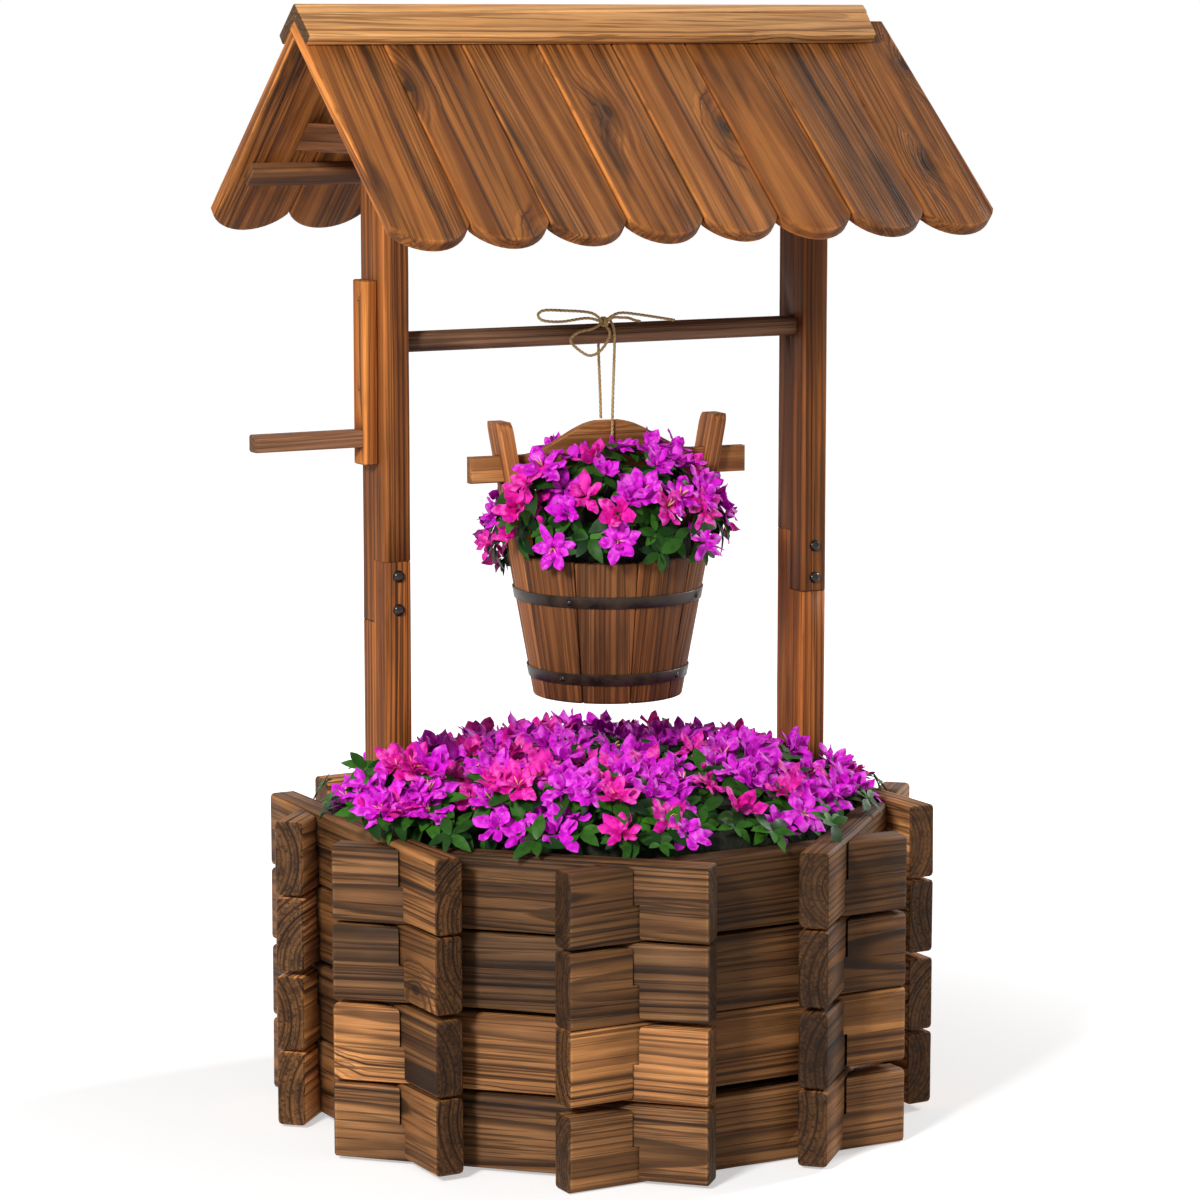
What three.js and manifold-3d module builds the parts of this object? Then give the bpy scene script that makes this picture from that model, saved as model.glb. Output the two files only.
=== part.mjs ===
// Wishing well planter: an octagonal tub of notched planks, two posts with a
// shingled gable roof, and a coopered bucket that hangs from a turning rod.
//
// Millimetres, +Z up. X runs along the rod and the ridge, from the crank side
// to the far post. The front wall faces -Y. The origin is on the ground, in the
// middle of the tub's floor.

import * as THREE from 'three';
import { mergeVertices } from 'three/addons/utils/BufferGeometryUtils.js';
import Module from 'manifold-3d';

// Fits shared by the whole build
const seatGap = 0.3;
const soilGap = 1;
const cutOverrun = 5;

// Tub: eight walls of notched planks, laid in courses
const wallCount = 8;
const tubAcross = 578;
const plankThickness = 30;
const plankHeight = 76;
const plankHorn = 73.5;
const plankEdgeRadius = 4;
const plankEndChamfer = 1.6;
const lapStep = 3;
const notchPlay = 2.5;
const wallNames = ['front', 'front_right', 'right_end', 'back_right', 'back', 'back_left', 'left_end', 'front_left'];
const usualCourse = { flat: 0, diagonal: 1, end: 2 };
const turnedCourse = { flat: 1, diagonal: 0, end: 1 };
const courses = [usualCourse, turnedCourse, usualCourse, usualCourse];

// Floor board inside the tub
const floorThickness = 18;
const floorGap = 0.6;
const drainRadius = 9;
const drainPlaceShare = 0.55;
const drainCount = 4;

// Posts, each in two lengths joined by a half lap
const postWidth = 28.5;
const postDepth = 53;
const postEdgeRadius = 2.5;
const postEndChamfer = 0.8;
const lapFootAboveTub = 205.1;
const lapLength = 63;
const boltSpacing = 34;
const boltRadius = 3;
const boltHeadRadius = 6.3;
const boltHeadRise = 3.4;
const boltHoleGap = 0.4;
const boltNutRadius = 5.8;
const boltNutThickness = 4.5;

// Rod across the posts, and the crank beside the near post
const rodAboveTub = 485.5;
const rodRadius = 10.5;
const rodHoleGap = 0.5;
const rodSocketDepth = 20;
const crankArmThickness = 15;
const crankArmWidth = 26.5;
const crankArmRise = 63.5;
const crankArmDrop = 120.5;
const smallEdge = 2.2;
const smallChamfer = 1.2;
const crankHandleSide = 17.4;
const crankHandleReach = 116;
const crankHandleDrop = 94;
const crankHandleSocket = 9;
const screwRadius = 2.6;
const screwSpacing = 89;
const screwRecess = 1.2;

// Roof: two slopes of boards with rounded tails, a batten under each, ties and a ridge cap
const roofPitch = THREE.MathUtils.degToRad(41.7);
const ridgeAboveRod = 317.4;
const roofBoardCount = 8;
const roofLength = 682;
const roofBoardThickness = 13;
const roofBoardGap = 0.9;
const roofBoardEdge = 1;
const roofStraight = 283.5;
const roofTail = 24;
const battenPlace = 210;
const battenWidth = 24;
const battenThickness = 12;
const battenInset = 14;
const battenBite = 0.5;
const capWidth = 58;
const capThickness = 12.5;
const capShortfall = 28;
const capEndSkew = 9;
const tieThickness = 24;
const tieHeight = 28;
const tieBelowRidge = 101.8;

// Bucket: ten staves, two of them tall ears, in two hoops, on an arched bar
const hangPlace = 9;
const bucketTurn = THREE.MathUtils.degToRad(-5.6);
const rimBelowTenon = 76;
const bucketHeight = 149;
const bucketRimRadius = 104;
const bucketFootRadius = 77;
const staveThickness = 12;
const staveShare = [0.233, 0.23, 0.23, 0.307];
const staveGroove = 1.1;
const bucketFacets = 48;
const earWidth = 36;
const earThickness = 16;
const earAboveTenon = 35;
const earTopRadius = 13;
const earProud = 0.2;
const bucketBottomThickness = 11;
const hoopHeight = 12;
const hoopThickness = 1.2;
const hoopGap = 0.5;
const upperHoopPlace = 101;
const lowerHoopPlace = 19.5;
const barOverhang = 36.2;
const barTenonHeight = 27;
const barThickness = 12;
const barDepth = 49;
const barArchRise = 32;
const barArchInset = 12.8;
const barBelowRod = 89.4;
const barSlotPlay = 2.5;
const barSlotSide = 0.6;

// Jute twine: a sling round the bar and a bow on the rod
const twineDiameter = 3.2;
const twineSides = 8;
const twineStep = 5;
const twineRelief = 0.5;
const knotRadius = 4.6;
const knotWidthShare = 0.8;

// Planting
const moundRoom = 20;
const moundSetback = 3;
const moundShoulderShare = 0.55;
const moundStep = 0.125;
const bucketMoundRoom = 18;
const bucketMoundSpill = 8;

const tubInradius = tubAcross / 2;
const tubInside = tubInradius - plankThickness;
const wallCentre = tubInradius - plankThickness / 2;
const cornerAngle = (2 * Math.PI) / wallCount;
const wallHalfLength = tubInradius * Math.tan(cornerAngle / 2) + plankHorn;

const wasm = await Module();
wasm.setup();

// Booleans: a geometry becomes a solid, and a solid becomes a geometry
function toSolid(geometry) {
  const bare = geometry.clone();
  bare.deleteAttribute('normal');
  bare.deleteAttribute('uv');
  const merged = mergeVertices(bare, 1e-4);
  return new wasm.Manifold(new wasm.Mesh({
    numProp: 3,
    vertProperties: new Float32Array(merged.attributes.position.array),
    triVerts: new Uint32Array(merged.index.array),
  }));
}

function toGeometry(solid) {
  const mesh = solid.getMesh();
  const geometry = new THREE.BufferGeometry();
  geometry.setAttribute('position', new THREE.BufferAttribute(mesh.vertProperties, 3));
  geometry.setIndex(new THREE.BufferAttribute(mesh.triVerts, 1));
  return geometry;
}

function cut(geometry, cutters) {
  let solid = toSolid(geometry);
  for (const cutter of cutters) {
    solid = solid.subtract(toSolid(cutter));
  }
  return toGeometry(solid);
}

function join(geometries) {
  let solid = toSolid(geometries[0]);
  for (const geometry of geometries.slice(1)) {
    solid = solid.add(toSolid(geometry));
  }
  return toGeometry(solid);
}

function box(low, high) {
  const size = high.map((value, axis) => value - low[axis]);
  const middle = high.map((value, axis) => (value + low[axis]) / 2);
  return new THREE.BoxGeometry(...size).translate(...middle);
}

// A round rod along one axis, whose flats or corners keep to the radius
function roundBar(radius, from, to, axis, facets, cornersOnRadius = true) {
  const reach = cornersOnRadius ? radius : radius / Math.cos(Math.PI / facets);
  const geometry = new THREE.CylinderGeometry(reach, reach, to - from, facets);
  if (axis === 'x') geometry.rotateZ(-Math.PI / 2).translate((from + to) / 2, 0, 0);
  if (axis === 'y') geometry.translate(0, (from + to) / 2, 0);
  if (axis === 'z') geometry.rotateX(Math.PI / 2).translate(0, 0, (from + to) / 2);
  return geometry;
}

function softRectangle(width, height, radius) {
  const right = width / 2;
  const top = height / 2;
  const shape = new THREE.Shape();
  shape.absarc(right - radius, top - radius, radius, 0, Math.PI / 2);
  shape.absarc(radius - right, top - radius, radius, Math.PI / 2, Math.PI);
  shape.absarc(radius - right, radius - top, radius, Math.PI, 1.5 * Math.PI);
  shape.absarc(right - radius, radius - top, radius, 1.5 * Math.PI, 2 * Math.PI);
  return shape;
}

// A squared timber with rounded arrises, its length along X and its ends lightly chamfered
function timber(length, width, height, radius, chamfer) {
  const geometry = new THREE.ExtrudeGeometry(softRectangle(width, height, radius), {
    depth: length - 2 * chamfer,
    curveSegments: 1,
    bevelThickness: chamfer,
    bevelSize: chamfer,
    bevelOffset: -chamfer,
    bevelSegments: 1,
  });
  geometry.translate(0, 0, chamfer - length / 2);
  return geometry.rotateX(Math.PI / 2).rotateZ(Math.PI / 2);
}

// An outline in the YZ plane, pushed along X
function slabAlongX(shape, from, to, curveSegments = 5) {
  const geometry = new THREE.ExtrudeGeometry(shape, { depth: to - from, bevelEnabled: false, curveSegments });
  return geometry.rotateX(Math.PI / 2).rotateZ(Math.PI / 2).translate(from, 0, 0);
}

function outline(points) {
  return new THREE.Shape(points.map(([x, y]) => new THREE.Vector2(x, y)));
}

const well = new THREE.Group();

function finish(color, roughness, metalness = 0) {
  return new THREE.MeshStandardMaterial({ color, roughness, metalness });
}

function addMesh(name, geometry, material, parent = well) {
  const mesh = new THREE.Mesh(geometry, material);
  mesh.name = name;
  parent.add(mesh);
  return mesh;
}

// Tub planks. A plank's rank in its course says which neighbour it passes over:
// the higher one is notched from below, the lower one from above, and each rank
// lies one lap step higher, so that courses bear on each other at the corners.
function kindOfWall(wall) {
  if (wall % 2 === 1) return 'diagonal';
  return wall % 4 === 0 ? 'flat' : 'end';
}

function courseHeights() {
  const feet = [];
  for (const ranks of courses) {
    const below = feet[feet.length - 1];
    const rankOf = (wall) => ranks[kindOfWall((wall + wallCount) % wallCount)];
    let base = 0;
    for (let wall = 0; below && wall < wallCount; wall += 1) {
      const topBelow = (other) => below[(other + wallCount) % wallCount] + plankHeight;
      for (const next of [wall - 1, wall + 1]) {
        const bearing = rankOf(wall) < rankOf(next) ? Math.max(topBelow(wall), topBelow(next)) : topBelow(wall);
        base = Math.max(base, bearing + seatGap - rankOf(wall) * lapStep);
      }
    }
    feet.push(wallNames.map((name, wall) => base + rankOf(wall) * lapStep));
  }
  return feet;
}

function plankGeometry(wall, ranks) {
  const body = timber(2 * wallHalfLength, plankThickness, plankHeight, plankEdgeRadius, plankEndChamfer);
  const cutters = [-1, 1].map((side) => {
    const neighbour = (wall + side + wallCount) % wallCount;
    const isBelow = ranks[kindOfWall(wall)] < ranks[kindOfWall(neighbour)];
    const low = isBelow ? 0 : -plankHeight / 2 - cutOverrun;
    const high = isBelow ? plankHeight / 2 + cutOverrun : seatGap - lapStep;
    const halfWidth = plankThickness / 2 + notchPlay;
    const slot = box([-wallHalfLength, -halfWidth, low], [wallHalfLength, halfWidth, high]);
    slot.rotateZ(side * cornerAngle);
    return slot.translate(
      side * wallCentre * Math.sin(cornerAngle),
      wallCentre * (1 - Math.cos(cornerAngle)),
      0,
    );
  });
  return cut(body, cutters);
}

const plankFeet = courseHeights();
const wallTop = Math.max(...plankFeet[courses.length - 1]) + plankHeight;
const rodHeight = wallTop + rodAboveTub;
const ridgeHeight = rodHeight + ridgeAboveRod;
const plankFinish = finish(0x6f4a30, 0.75);

wallNames.forEach((name, wall) => {
  const side = new THREE.Group();
  side.rotation.z = wall * cornerAngle;
  well.add(side);
  courses.forEach((ranks, course) => {
    const plank = addMesh(`plank_${name}_${course + 1}`, plankGeometry(wall, ranks), plankFinish, side);
    plank.position.set(0, -wallCentre, plankFeet[course][wall] + plankHeight / 2);
  });
});

// Floor board: an octagon that fits between the walls, with drain holes
function octagon(inradius, height, foot) {
  const reach = inradius / Math.cos(cornerAngle / 2);
  const geometry = new THREE.CylinderGeometry(reach, reach, height, wallCount);
  return geometry.rotateX(Math.PI / 2).rotateZ(cornerAngle / 2).translate(0, 0, foot + height / 2);
}

function floorGeometry() {
  const drains = [];
  for (let index = 0; index < drainCount; index += 1) {
    const angle = ((index + 0.5) * 2 * Math.PI) / drainCount;
    const away = tubInside * drainPlaceShare;
    const drain = roundBar(drainRadius, -cutOverrun, floorThickness + cutOverrun, 'z', 16);
    drains.push(drain.translate(away * Math.cos(angle), away * Math.sin(angle), 0));
  }
  return cut(octagon(tubInside - floorGap, floorThickness, 0), drains);
}

addMesh('floor_board', floorGeometry(), finish(0x7a5636, 0.8));

// Posts. Both lengths share one outline in the YZ plane, parted by the lap:
// the half that rises on the near post is the front one, on the far post the back one.
const roofDrop = Math.tan(roofPitch);
const undersideHeight = ridgeHeight - roofBoardThickness / Math.cos(roofPitch);
const postOuter = tubInside - seatGap;
const postInner = postOuter - postWidth;
const postFoot = floorThickness + seatGap;
const lapFootHeight = wallTop + lapFootAboveTub;
const lapTopHeight = lapFootHeight + lapLength;
const boltHeights = [-1, 1].map((side) => lapFootHeight + lapLength / 2 + (side * boltSpacing) / 2);

function postBlank(foot, top) {
  const geometry = timber(top - foot, postDepth, postWidth, postEdgeRadius, postEndChamfer);
  return geometry.rotateY(-Math.PI / 2).translate(postInner + postWidth / 2, 0, (foot + top) / 2);
}

function boltHole(height) {
  const hole = roundBar(boltRadius + boltHoleGap, -postDepth, postDepth, 'y', 16);
  return hole.translate(postInner + postWidth / 2, 0, height);
}

function lapCutter(half, foot, top) {
  const low = half < 0 ? -postDepth : -seatGap / 2;
  const high = half < 0 ? seatGap / 2 : postDepth;
  return box([postInner - cutOverrun, low, foot], [postOuter + cutOverrun, high, top]);
}

function lowerPost(risingHalf) {
  const waste = lapCutter(-risingHalf, lapFootHeight - seatGap, lapTopHeight + cutOverrun);
  return cut(postBlank(postFoot, lapTopHeight), [waste, ...boltHeights.map(boltHole)]);
}

function upperPost(risingHalf) {
  const peak = undersideHeight - seatGap;
  const waste = lapCutter(risingHalf, lapFootHeight - cutOverrun, lapTopHeight + seatGap);
  const slopes = [-1, 1].map((side) => {
    const above = outline([
      [0, peak],
      [side * postDepth, peak - postDepth * roofDrop],
      [side * postDepth, peak + postDepth],
      [0, peak + postDepth],
    ]);
    return slabAlongX(above, postInner - cutOverrun, postOuter + cutOverrun);
  });
  const socket = roundBar(rodRadius + rodHoleGap, postInner - cutOverrun, postInner + rodSocketDepth, 'x', 32, false);
  socket.translate(0, 0, rodHeight);
  return cut(postBlank(lapFootHeight, peak), [waste, ...slopes, socket, ...boltHeights.map(boltHole)]);
}

function boltGeometry(height) {
  const face = postDepth / 2 + seatGap;
  const profile = new THREE.Path();
  profile.moveTo(0, -face - boltNutThickness);
  profile.lineTo(boltNutRadius, -face - boltNutThickness);
  profile.lineTo(boltNutRadius, -face);
  profile.lineTo(boltRadius, -face);
  profile.lineTo(boltRadius, face);
  profile.lineTo(boltHeadRadius, face);
  profile.quadraticCurveTo(boltHeadRadius, face + boltHeadRise, 0, face + boltHeadRise);
  const geometry = new THREE.LatheGeometry(profile.getPoints(3), 12);
  return geometry.rotateX(Math.PI).translate(postInner + postWidth / 2, 0, height);
}

const postFinish = finish(0x6b4128, 0.7);
const boltFinish = finish(0x1d1b1a, 0.45, 0.8);

for (const [name, side, risingHalf] of [['left', -1, -1], ['right', 1, 1]]) {
  const stand = new THREE.Group();
  stand.rotation.z = side < 0 ? Math.PI : 0;
  well.add(stand);
  const half = side * risingHalf;
  addMesh(`${name}_post_lower`, lowerPost(half), postFinish, stand);
  addMesh(`${name}_post_upper`, upperPost(half), postFinish, stand);
  boltHeights.forEach((height, index) => {
    const bolt = addMesh(`${name}_post_bolt_${index + 1}`, boltGeometry(height), boltFinish, stand);
    if (side < 0) {
      bolt.rotation.z = Math.PI;
      bolt.position.x = 2 * postInner + postWidth;
    }
  });
}

// Rod, seated in a blind hole in each post, free to turn
const rodHalfLength = postInner + rodSocketDepth - 2 * seatGap;
const rod = addMesh('rod', roundBar(rodRadius, -rodHalfLength, rodHalfLength, 'x', 32), finish(0x4a3020, 0.65));
rod.position.z = rodHeight;

// Crank: an arm screwed flat to the near post, and a square handle let into its foot
const armOuter = -postOuter - seatGap - crankArmThickness;

function crankArmGeometry() {
  const height = crankArmRise + crankArmDrop;
  const arm = timber(height, crankArmWidth, crankArmThickness, smallEdge, smallChamfer);
  arm.rotateY(Math.PI / 2);
  arm.translate(armOuter + crankArmThickness / 2, 0, rodHeight + crankArmRise - height / 2);
  const recesses = [-1, 1].map((side) => {
    const recess = roundBar(screwRadius, armOuter - cutOverrun, armOuter + screwRecess, 'x', 12);
    return recess.translate(0, 0, rodHeight + (side * screwSpacing) / 2);
  });
  const socketHalf = crankHandleSide / 2 + seatGap;
  const socketHeight = rodHeight - crankHandleDrop;
  const socket = box(
    [armOuter - cutOverrun, -socketHalf, socketHeight - socketHalf],
    [armOuter + crankHandleSocket, socketHalf, socketHeight + socketHalf],
  );
  return cut(arm, [...recesses, socket]);
}

const crankFinish = finish(0xa8692f, 0.65);
addMesh('crank_arm', crankArmGeometry(), crankFinish);
const handleLength = crankHandleReach + crankHandleSocket - seatGap;
const handle = timber(handleLength, crankHandleSide, crankHandleSide, smallEdge, smallChamfer);
addMesh('crank_handle', handle, crankFinish)
  .position.set(armOuter - crankHandleReach + handleLength / 2, 0, rodHeight - crankHandleDrop);

// Roof. A slope is drawn lying flat, its length down the slope along +X of the
// drawing and its outer face at height zero, then turned onto the ridge.
// side is -1 for the front slope and 1 for the back one.
function ontoSlope(geometry, side) {
  geometry.rotateZ(Math.PI / 2);
  geometry.rotateX(-roofPitch);
  if (side < 0) geometry.rotateZ(Math.PI);
  return geometry.translate(0, 0, ridgeHeight);
}

// Everything beyond a slope's plane that lies the given depth under its outer face
function beyondSlope(side, depth) {
  const reach = roofLength;
  const block = box([-reach, -reach, -depth], [reach, reach, reach]);
  return ontoSlope(block, side);
}

function tailedBoard(index) {
  const width = roofLength / roofBoardCount;
  const half = (width - roofBoardGap) / 2;
  const across = (index - (roofBoardCount - 1) / 2) * width;
  const rise = roofTail - 2 * roofBoardEdge;
  const radius = (half * half + rise * rise) / (2 * rise);
  const spread = Math.asin(half / radius);
  const shape = new THREE.Shape();
  shape.moveTo(-3 * roofBoardThickness, across - half);
  shape.lineTo(roofStraight, across - half);
  shape.absarc(roofStraight + roofTail - radius, across, radius, -spread, spread);
  shape.lineTo(-3 * roofBoardThickness, across + half);
  const geometry = new THREE.ExtrudeGeometry(shape, {
    depth: roofBoardThickness - 2 * roofBoardEdge,
    curveSegments: 4,
    bevelThickness: roofBoardEdge,
    bevelSize: roofBoardEdge,
    bevelOffset: -roofBoardEdge,
    bevelSegments: 1,
  });
  return geometry.translate(0, 0, roofBoardEdge - roofBoardThickness);
}

function roofPanel(side) {
  const boards = [];
  for (let index = 0; index < roofBoardCount; index += 1) {
    boards.push(tailedBoard(index));
  }
  const reach = roofLength / 2 - battenInset;
  const batten = timber(2 * reach, battenWidth, battenThickness + battenBite, smallEdge, smallChamfer);
  batten.rotateZ(Math.PI / 2);
  batten.translate(battenPlace, 0, (battenBite - battenThickness) / 2 - roofBoardThickness);
  const panel = ontoSlope(join([...boards, batten]), side);
  return cut(panel, [beyondSlope(-side, side < 0 ? 0 : roofBoardThickness + seatGap)]);
}

const roofFinish = finish(0x8a5a32, 0.65);
addMesh('roof_panel_front', roofPanel(-1), roofFinish);
addMesh('roof_panel_back', roofPanel(1), roofFinish);

// Ridge cap: the back board laps over the top edge of the front one
function capBoard(side) {
  const left = -roofLength / 2;
  const right = roofLength / 2 - capShortfall;
  const turned = side < 0 ? -1 : 1;
  const shape = outline([
    [-2 * capThickness, -turned * left],
    [-2 * capThickness, -turned * (right + capEndSkew / 2)],
    [capWidth, -turned * (right - capEndSkew / 2)],
    [capWidth, -turned * left],
  ]);
  const geometry = new THREE.ExtrudeGeometry(shape, { depth: capThickness, bevelEnabled: false });
  const board = ontoSlope(geometry.translate(0, 0, seatGap), side);
  return cut(board, [beyondSlope(-side, side < 0 ? -seatGap / 2 : -seatGap - capThickness)]);
}

const capFinish = finish(0xc08a52, 0.6);
addMesh('ridge_cap_front', capBoard(-1), capFinish);
addMesh('ridge_cap_back', capBoard(1), capFinish);

// Ties: a short beam across the outside of each post, cut to the roof's pitch
function tieGeometry() {
  const reachAt = (height) => (undersideHeight - seatGap / Math.cos(roofPitch) - height) / roofDrop;
  const top = ridgeHeight - tieBelowRidge;
  const foot = top - tieHeight;
  const shape = outline([
    [-reachAt(foot), foot],
    [reachAt(foot), foot],
    [reachAt(top), top],
    [-reachAt(top), top],
  ]);
  return slabAlongX(shape, postOuter + seatGap, postOuter + seatGap + tieThickness);
}

for (const [name, turn] of [['left', Math.PI], ['right', 0]]) {
  addMesh(`${name}_roof_tie`, tieGeometry(), finish(0x4a2f20, 0.75)).rotation.z = turn;
}

// Bucket, in its own group so that its slight turn on the twine is one value
const bucket = new THREE.Group();
bucket.position.set(hangPlace, 0, 0);
bucket.rotation.z = bucketTurn;
well.add(bucket);

const barTop = rodHeight - barBelowRod;
const barArchUnder = barTop - barDepth;
const barTenonTop = barTop - barArchRise;
const barTenonFoot = barTenonTop - barTenonHeight;
const earTopHeight = barTenonTop + earAboveTenon;
const bucketRimHeight = barTenonFoot - rimBelowTenon;
const bucketFootHeight = bucketRimHeight - bucketHeight;
const bucketFlare = (bucketRimRadius - bucketFootRadius) / bucketHeight;
const bucketLean = Math.atan(bucketFlare);
const outerRadius = (height) => bucketFootRadius + (height - bucketFootHeight) * bucketFlare;

// A band of the bucket's cone, between two heights and two offsets from its outer face
function coneBand(foot, top, inside, outside) {
  const profile = [
    [outerRadius(foot) - inside, foot],
    [outerRadius(foot) + outside, foot],
    [outerRadius(top) + outside, top],
    [outerRadius(top) - inside, top],
    [outerRadius(foot) - inside, foot],
  ].map(([radius, height]) => new THREE.Vector2(radius, height));
  return new THREE.LatheGeometry(profile, bucketFacets).rotateX(Math.PI / 2);
}

function coneDisc(foot, top, inside) {
  const profile = [
    [0, foot],
    [outerRadius(foot) - inside, foot],
    [outerRadius(top) - inside, top],
    [0, top],
  ].map(([radius, height]) => new THREE.Vector2(radius, height));
  return new THREE.LatheGeometry(profile, bucketFacets).rotateX(Math.PI / 2);
}

// A block that leans with the bucket's side, its flat inner face the given depth inside
function leaningBlock(depth, halfWidth, side) {
  const block = box([-depth, -halfWidth, -bucketHeight], [bucketRimRadius, halfWidth, 3 * bucketHeight]);
  block.rotateY(bucketLean).translate(bucketFootRadius, 0, bucketFootHeight);
  return side < 0 ? block.rotateZ(Math.PI) : block;
}

function earShape() {
  const half = earWidth / 2;
  const shape = new THREE.Shape();
  shape.moveTo(-half, bucketFootHeight);
  shape.lineTo(half, bucketFootHeight);
  shape.lineTo(half, earTopHeight - earTopRadius);
  shape.quadraticCurveTo(half, earTopHeight, half - earTopRadius, earTopHeight);
  shape.lineTo(earTopRadius - half, earTopHeight);
  shape.quadraticCurveTo(-half, earTopHeight, -half, earTopHeight - earTopRadius);
  return shape;
}

const earSlotTop = barTenonTop + seatGap;

function earGeometry(side) {
  const reach = outerRadius(earTopHeight) + cutOverrun;
  const prism = slabAlongX(earShape(), 0, reach);
  const slotHalf = barThickness / 2 + barSlotSide;
  const slot = box([0, -slotHalf, barTenonFoot - barSlotPlay], [reach, slotHalf, earSlotTop]);
  if (side < 0) {
    prism.rotateZ(Math.PI);
    slot.rotateZ(Math.PI);
  }
  return toGeometry(
    toSolid(coneDisc(bucketFootHeight, earTopHeight, -earProud))
      .intersect(toSolid(prism))
      .intersect(toSolid(leaningBlock(earThickness, earWidth, side)))
      .subtract(toSolid(slot)),
  );
}

function staveGrooves() {
  const slant = bucketHeight / Math.cos(bucketLean) + 2 * cutOverrun;
  const cutters = [];
  const groove = (angle, sideways) => {
    const blade = box([-staveGroove, -staveGroove / 2, -slant / 2], [staveGroove, staveGroove / 2, slant / 2]);
    blade.rotateY(bucketLean);
    blade.translate((bucketRimRadius + bucketFootRadius) / 2, sideways, bucketFootHeight + bucketHeight / 2);
    cutters.push(blade.rotateZ(angle));
  };
  for (const side of [0, Math.PI]) {
    groove(side, earWidth / 2);
    groove(side, -earWidth / 2);
    const earHalfAngle = Math.asin(earWidth / 2 / bucketRimRadius);
    let angle = -Math.PI + earHalfAngle;
    for (const share of staveShare.slice(0, -1)) {
      angle += share * (Math.PI - 2 * earHalfAngle);
      groove(angle + side, 0);
    }
  }
  return cutters;
}

function stavesGeometry() {
  const shell = coneBand(bucketFootHeight, bucketRimHeight, staveThickness, 0);
  return cut(join([shell, earGeometry(-1), earGeometry(1)]), staveGrooves());
}

const staveFinish = finish(0x7b4d2b, 0.7);
const ironFinish = finish(0x2e2a28, 0.5, 0.7);
addMesh('bucket_staves', stavesGeometry(), staveFinish, bucket);

const bottomFoot = bucketFootHeight + bucketBottomThickness / 2;
const bottomTop = bottomFoot + bucketBottomThickness;

function earRoom(gap) {
  return [-1, 1].map((side) => leaningBlock(earThickness + gap, earWidth / 2 + gap, side));
}

const bottomDisc = coneDisc(bottomFoot, bottomTop, staveThickness + seatGap);
addMesh('bucket_bottom', cut(bottomDisc, earRoom(seatGap)), staveFinish, bucket);

for (const [name, place] of [['upper', upperHoopPlace], ['lower', lowerHoopPlace]]) {
  const foot = bucketFootHeight + place;
  const hoop = coneBand(foot, foot + hoopHeight, -hoopGap, hoopGap + hoopThickness);
  addMesh(`bucket_hoop_${name}`, hoop, ironFinish, bucket);
}

// Carrying bar: arched above the bucket, its square ends through the ears
function barGeometry() {
  const end = outerRadius(barTenonFoot) + barOverhang;
  const archHalf = outerRadius(barTenonFoot) - barArchInset;
  const shape = new THREE.Shape();
  shape.moveTo(-end, barTenonFoot);
  shape.lineTo(-archHalf, barTenonFoot);
  shape.quadraticCurveTo(0, 2 * barArchUnder - barTenonFoot, archHalf, barTenonFoot);
  shape.lineTo(end, barTenonFoot);
  shape.lineTo(end, barTenonTop);
  shape.lineTo(archHalf, barTenonTop);
  shape.quadraticCurveTo(0, 2 * barTop - barTenonTop, -archHalf, barTenonTop);
  shape.lineTo(-end, barTenonTop);
  const edge = smallChamfer;
  const geometry = new THREE.ExtrudeGeometry(shape, {
    depth: barThickness - 2 * edge,
    curveSegments: 16,
    bevelThickness: edge,
    bevelSize: edge,
    bevelOffset: -edge,
    bevelSegments: 1,
  });
  return geometry.translate(0, 0, edge - barThickness / 2).rotateX(Math.PI / 2);
}

addMesh('bucket_bar', barGeometry(), finish(0x8f5f35, 0.65), bucket);

// Twine. The routes' points were chosen by hand, in millimetres from the place on
// the rod's axis where the bucket hangs.
const twineRadius = twineDiameter / 2;

function tube(points) {
  const route = new THREE.CatmullRomCurve3(points.map((point) => new THREE.Vector3(...point)), false, 'centripetal');
  const section = new THREE.Shape();
  section.absarc(0, 0, twineRadius, 0, 2 * Math.PI);
  const steps = Math.ceil(route.getLength() / twineStep);
  return new THREE.ExtrudeGeometry(section, {
    steps,
    curveSegments: twineSides / 2,
    extrudePath: route,
    bevelEnabled: false,
  });
}

// The strands are one length laid over the rod, and the sling one length under the
// bar. They part at the bar's top, where the bucket twists on the twine.
const rodClear = rodRadius + twineRadius + twineRelief;
const barClear = barThickness / 2 + twineRadius + twineRelief;
const barTopDrop = -barBelowRod;
const barUnderDrop = barArchUnder - rodHeight - twineRadius - twineRelief;
const twineRouteStrands = [
  [1, -barClear, barTopDrop + 2 * twineRelief],
  [1, -9.4, -60],
  [1, -11.8, -26],
  [1, -rodClear, -10],
  [0.8, -rodClear, 0],
  [0, -10.8, 8.8],
  [-1, -5.8, 13.6],
  [-1.6, 0, 14.8],
  [-2.2, 5.8, 13.6],
  [-3, 10.8, 8.8],
  [-3.8, rodClear, 0],
  [-4, rodClear, -10],
  [-4, 11.8, -26],
  [-3.8, 9.4, -60],
  [-3.6, barClear, barTopDrop + 2 * twineRelief],
];
const twineRouteSling = [
  [1.8, -barClear, barTopDrop + twineRelief / 2],
  [1.4, -barClear, -110],
  [1, -barClear, barUnderDrop + 8],
  [0.9, 0.7 - barClear, barUnderDrop + 0.7],
  [0, 3.5 - barClear, barUnderDrop - 0.2],
  [-1, 0, barUnderDrop - 0.2],
  [-2, barClear - 3.5, barUnderDrop - 0.2],
  [-2.7, barClear - 0.7, barUnderDrop + 0.7],
  [-3, barClear, barUnderDrop + 8],
  [-3.6, barClear, -110],
  [-4.4, barClear, barTopDrop + twineRelief / 2],
];
const knotPlace = [-10.5, -9.9, 11.9];
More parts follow.
